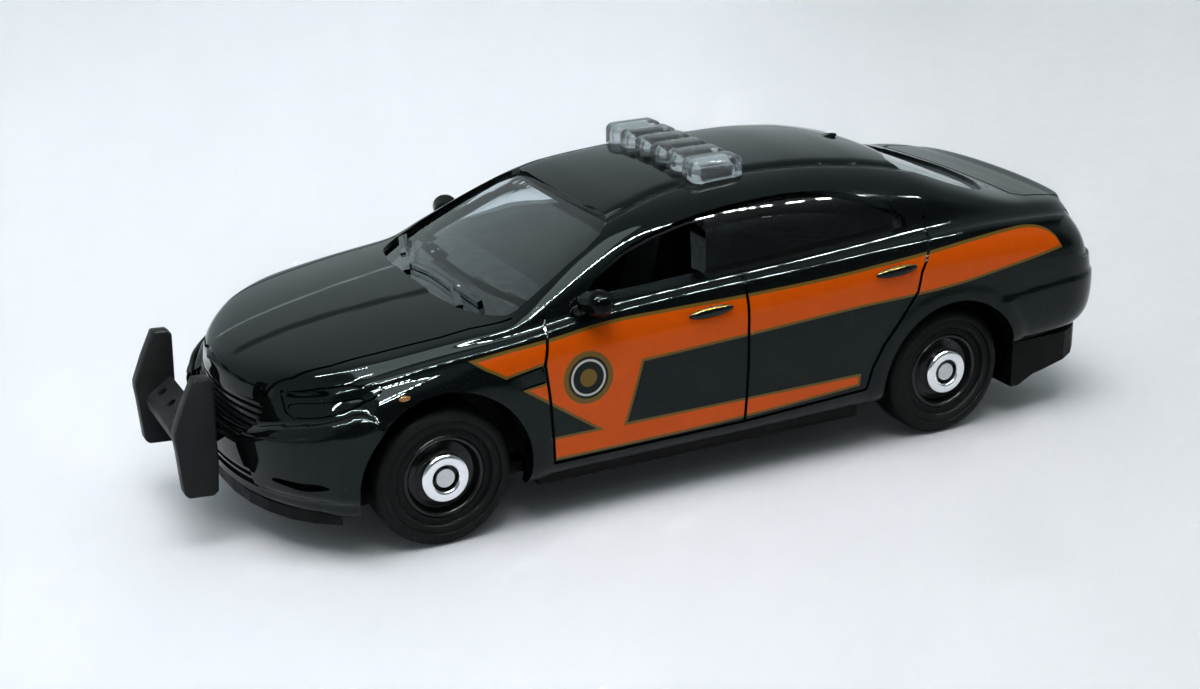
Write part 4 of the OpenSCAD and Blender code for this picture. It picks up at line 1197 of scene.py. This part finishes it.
class ToyCarSizes(bpy.types.PropertyGroup):
    """Sizes of the fine detail."""

    line_width: length("Panel line width", "Width of the door, bonnet and boot lines", 0.24, 0.1, 0.5)
    line_depth: length("Panel line depth", "Depth of those lines", 0.26, 0.1, 0.5)
    glass_gap: length("Glass gap", "Gap round each pane", 0.06, 0.02, 0.2)
    bar_cells: bpy.props.IntProperty(name="Lamp cells", description="Cells in the light bar", default=6,
                                     min=3, max=8)
    bar_edge: length("Cell edge", "Rounding of a lamp cell", 0.6, 0.1, 0.7)
    push_bar_edge: length("Push bar edge", "Rounding of the push bar's plates", 0.16, 0.05, 0.3)


class TOYCAR_OT_body(bpy.types.Operator):
    """Build the painted casting with its lines, lamps, mirrors and handles"""

    bl_idname = "toycar.body"
    bl_label = "Body"

    def execute(self, context):
        make_trim(make_casting())
        return {"FINISHED"}


class TOYCAR_OT_glazing(bpy.types.Operator):
    """Build the clear window moulding and wipers"""

    bl_idname = "toycar.glazing"
    bl_label = "Glazing"

    def execute(self, context):
        make_glazing()
        return {"FINISHED"}


class TOYCAR_OT_light_bar(bpy.types.Operator):
    """Build the clear light bar on the roof"""

    bl_idname = "toycar.light_bar"
    bl_label = "Light bar"

    def execute(self, context):
        make_light_bar()
        return {"FINISHED"}


class TOYCAR_OT_wheels(bpy.types.Operator):
    """Build the four wheels"""

    bl_idname = "toycar.wheels"
    bl_label = "Wheels"

    def execute(self, context):
        make_wheels()
        return {"FINISHED"}


class TOYCAR_OT_push_bar(bpy.types.Operator):
    """Build the push bar on the nose"""

    bl_idname = "toycar.push_bar"
    bl_label = "Push bar"

    def execute(self, context):
        make_push_bar()
        return {"FINISHED"}


class TOYCAR_OT_cabin_and_base(bpy.types.Operator):
    """Build the arches' inner walls and finish the cabin, base plate and axles"""

    bl_idname = "toycar.cabin_and_base"
    bl_label = "Cabin and base"

    def execute(self, context):
        make_wheel_wells()
        finish_cad_parts()
        return {"FINISHED"}


class TOYCAR_OT_stage(bpy.types.Operator):
    """Set up the floor, lights and camera"""

    bl_idname = "toycar.stage"
    bl_label = "Stage"

    def execute(self, context):
        make_stage()
        return {"FINISHED"}


OPERATORS = [TOYCAR_OT_stage, TOYCAR_OT_body, TOYCAR_OT_glazing, TOYCAR_OT_light_bar, TOYCAR_OT_wheels,
             TOYCAR_OT_push_bar, TOYCAR_OT_cabin_and_base]


class TOYCAR_PT_panel(bpy.types.Panel):
    """Sizes, colours and steps of the toy car"""

    bl_idname = "TOYCAR_PT_panel"
    bl_label = "Toy car"
    bl_space_type = "VIEW_3D"
    bl_region_type = "UI"
    bl_category = "Toy car"

    def draw(self, context):
        for group in (context.scene.toycar_sizes, context.scene.toycar_colours):
            for name in group.__annotations__:
                self.layout.prop(group, name)
        for operator in OPERATORS:
            self.layout.operator(operator.bl_idname)


def register():
    for item in (ToyCarColours, ToyCarSizes, *OPERATORS, TOYCAR_PT_panel):
        bpy.utils.register_class(item)
    bpy.types.Scene.toycar_colours = bpy.props.PointerProperty(type=ToyCarColours)
    bpy.types.Scene.toycar_sizes = bpy.props.PointerProperty(type=ToyCarSizes)


def unregister():
    del bpy.types.Scene.toycar_sizes, bpy.types.Scene.toycar_colours
    for item in reversed((ToyCarColours, ToyCarSizes, *OPERATORS, TOYCAR_PT_panel)):
        bpy.utils.unregister_class(item)


def main():
    register()
    for operator in OPERATORS:
        getattr(bpy.ops.toycar, operator.bl_idname.split(".")[1])()


if __name__ == "__main__":
    main()
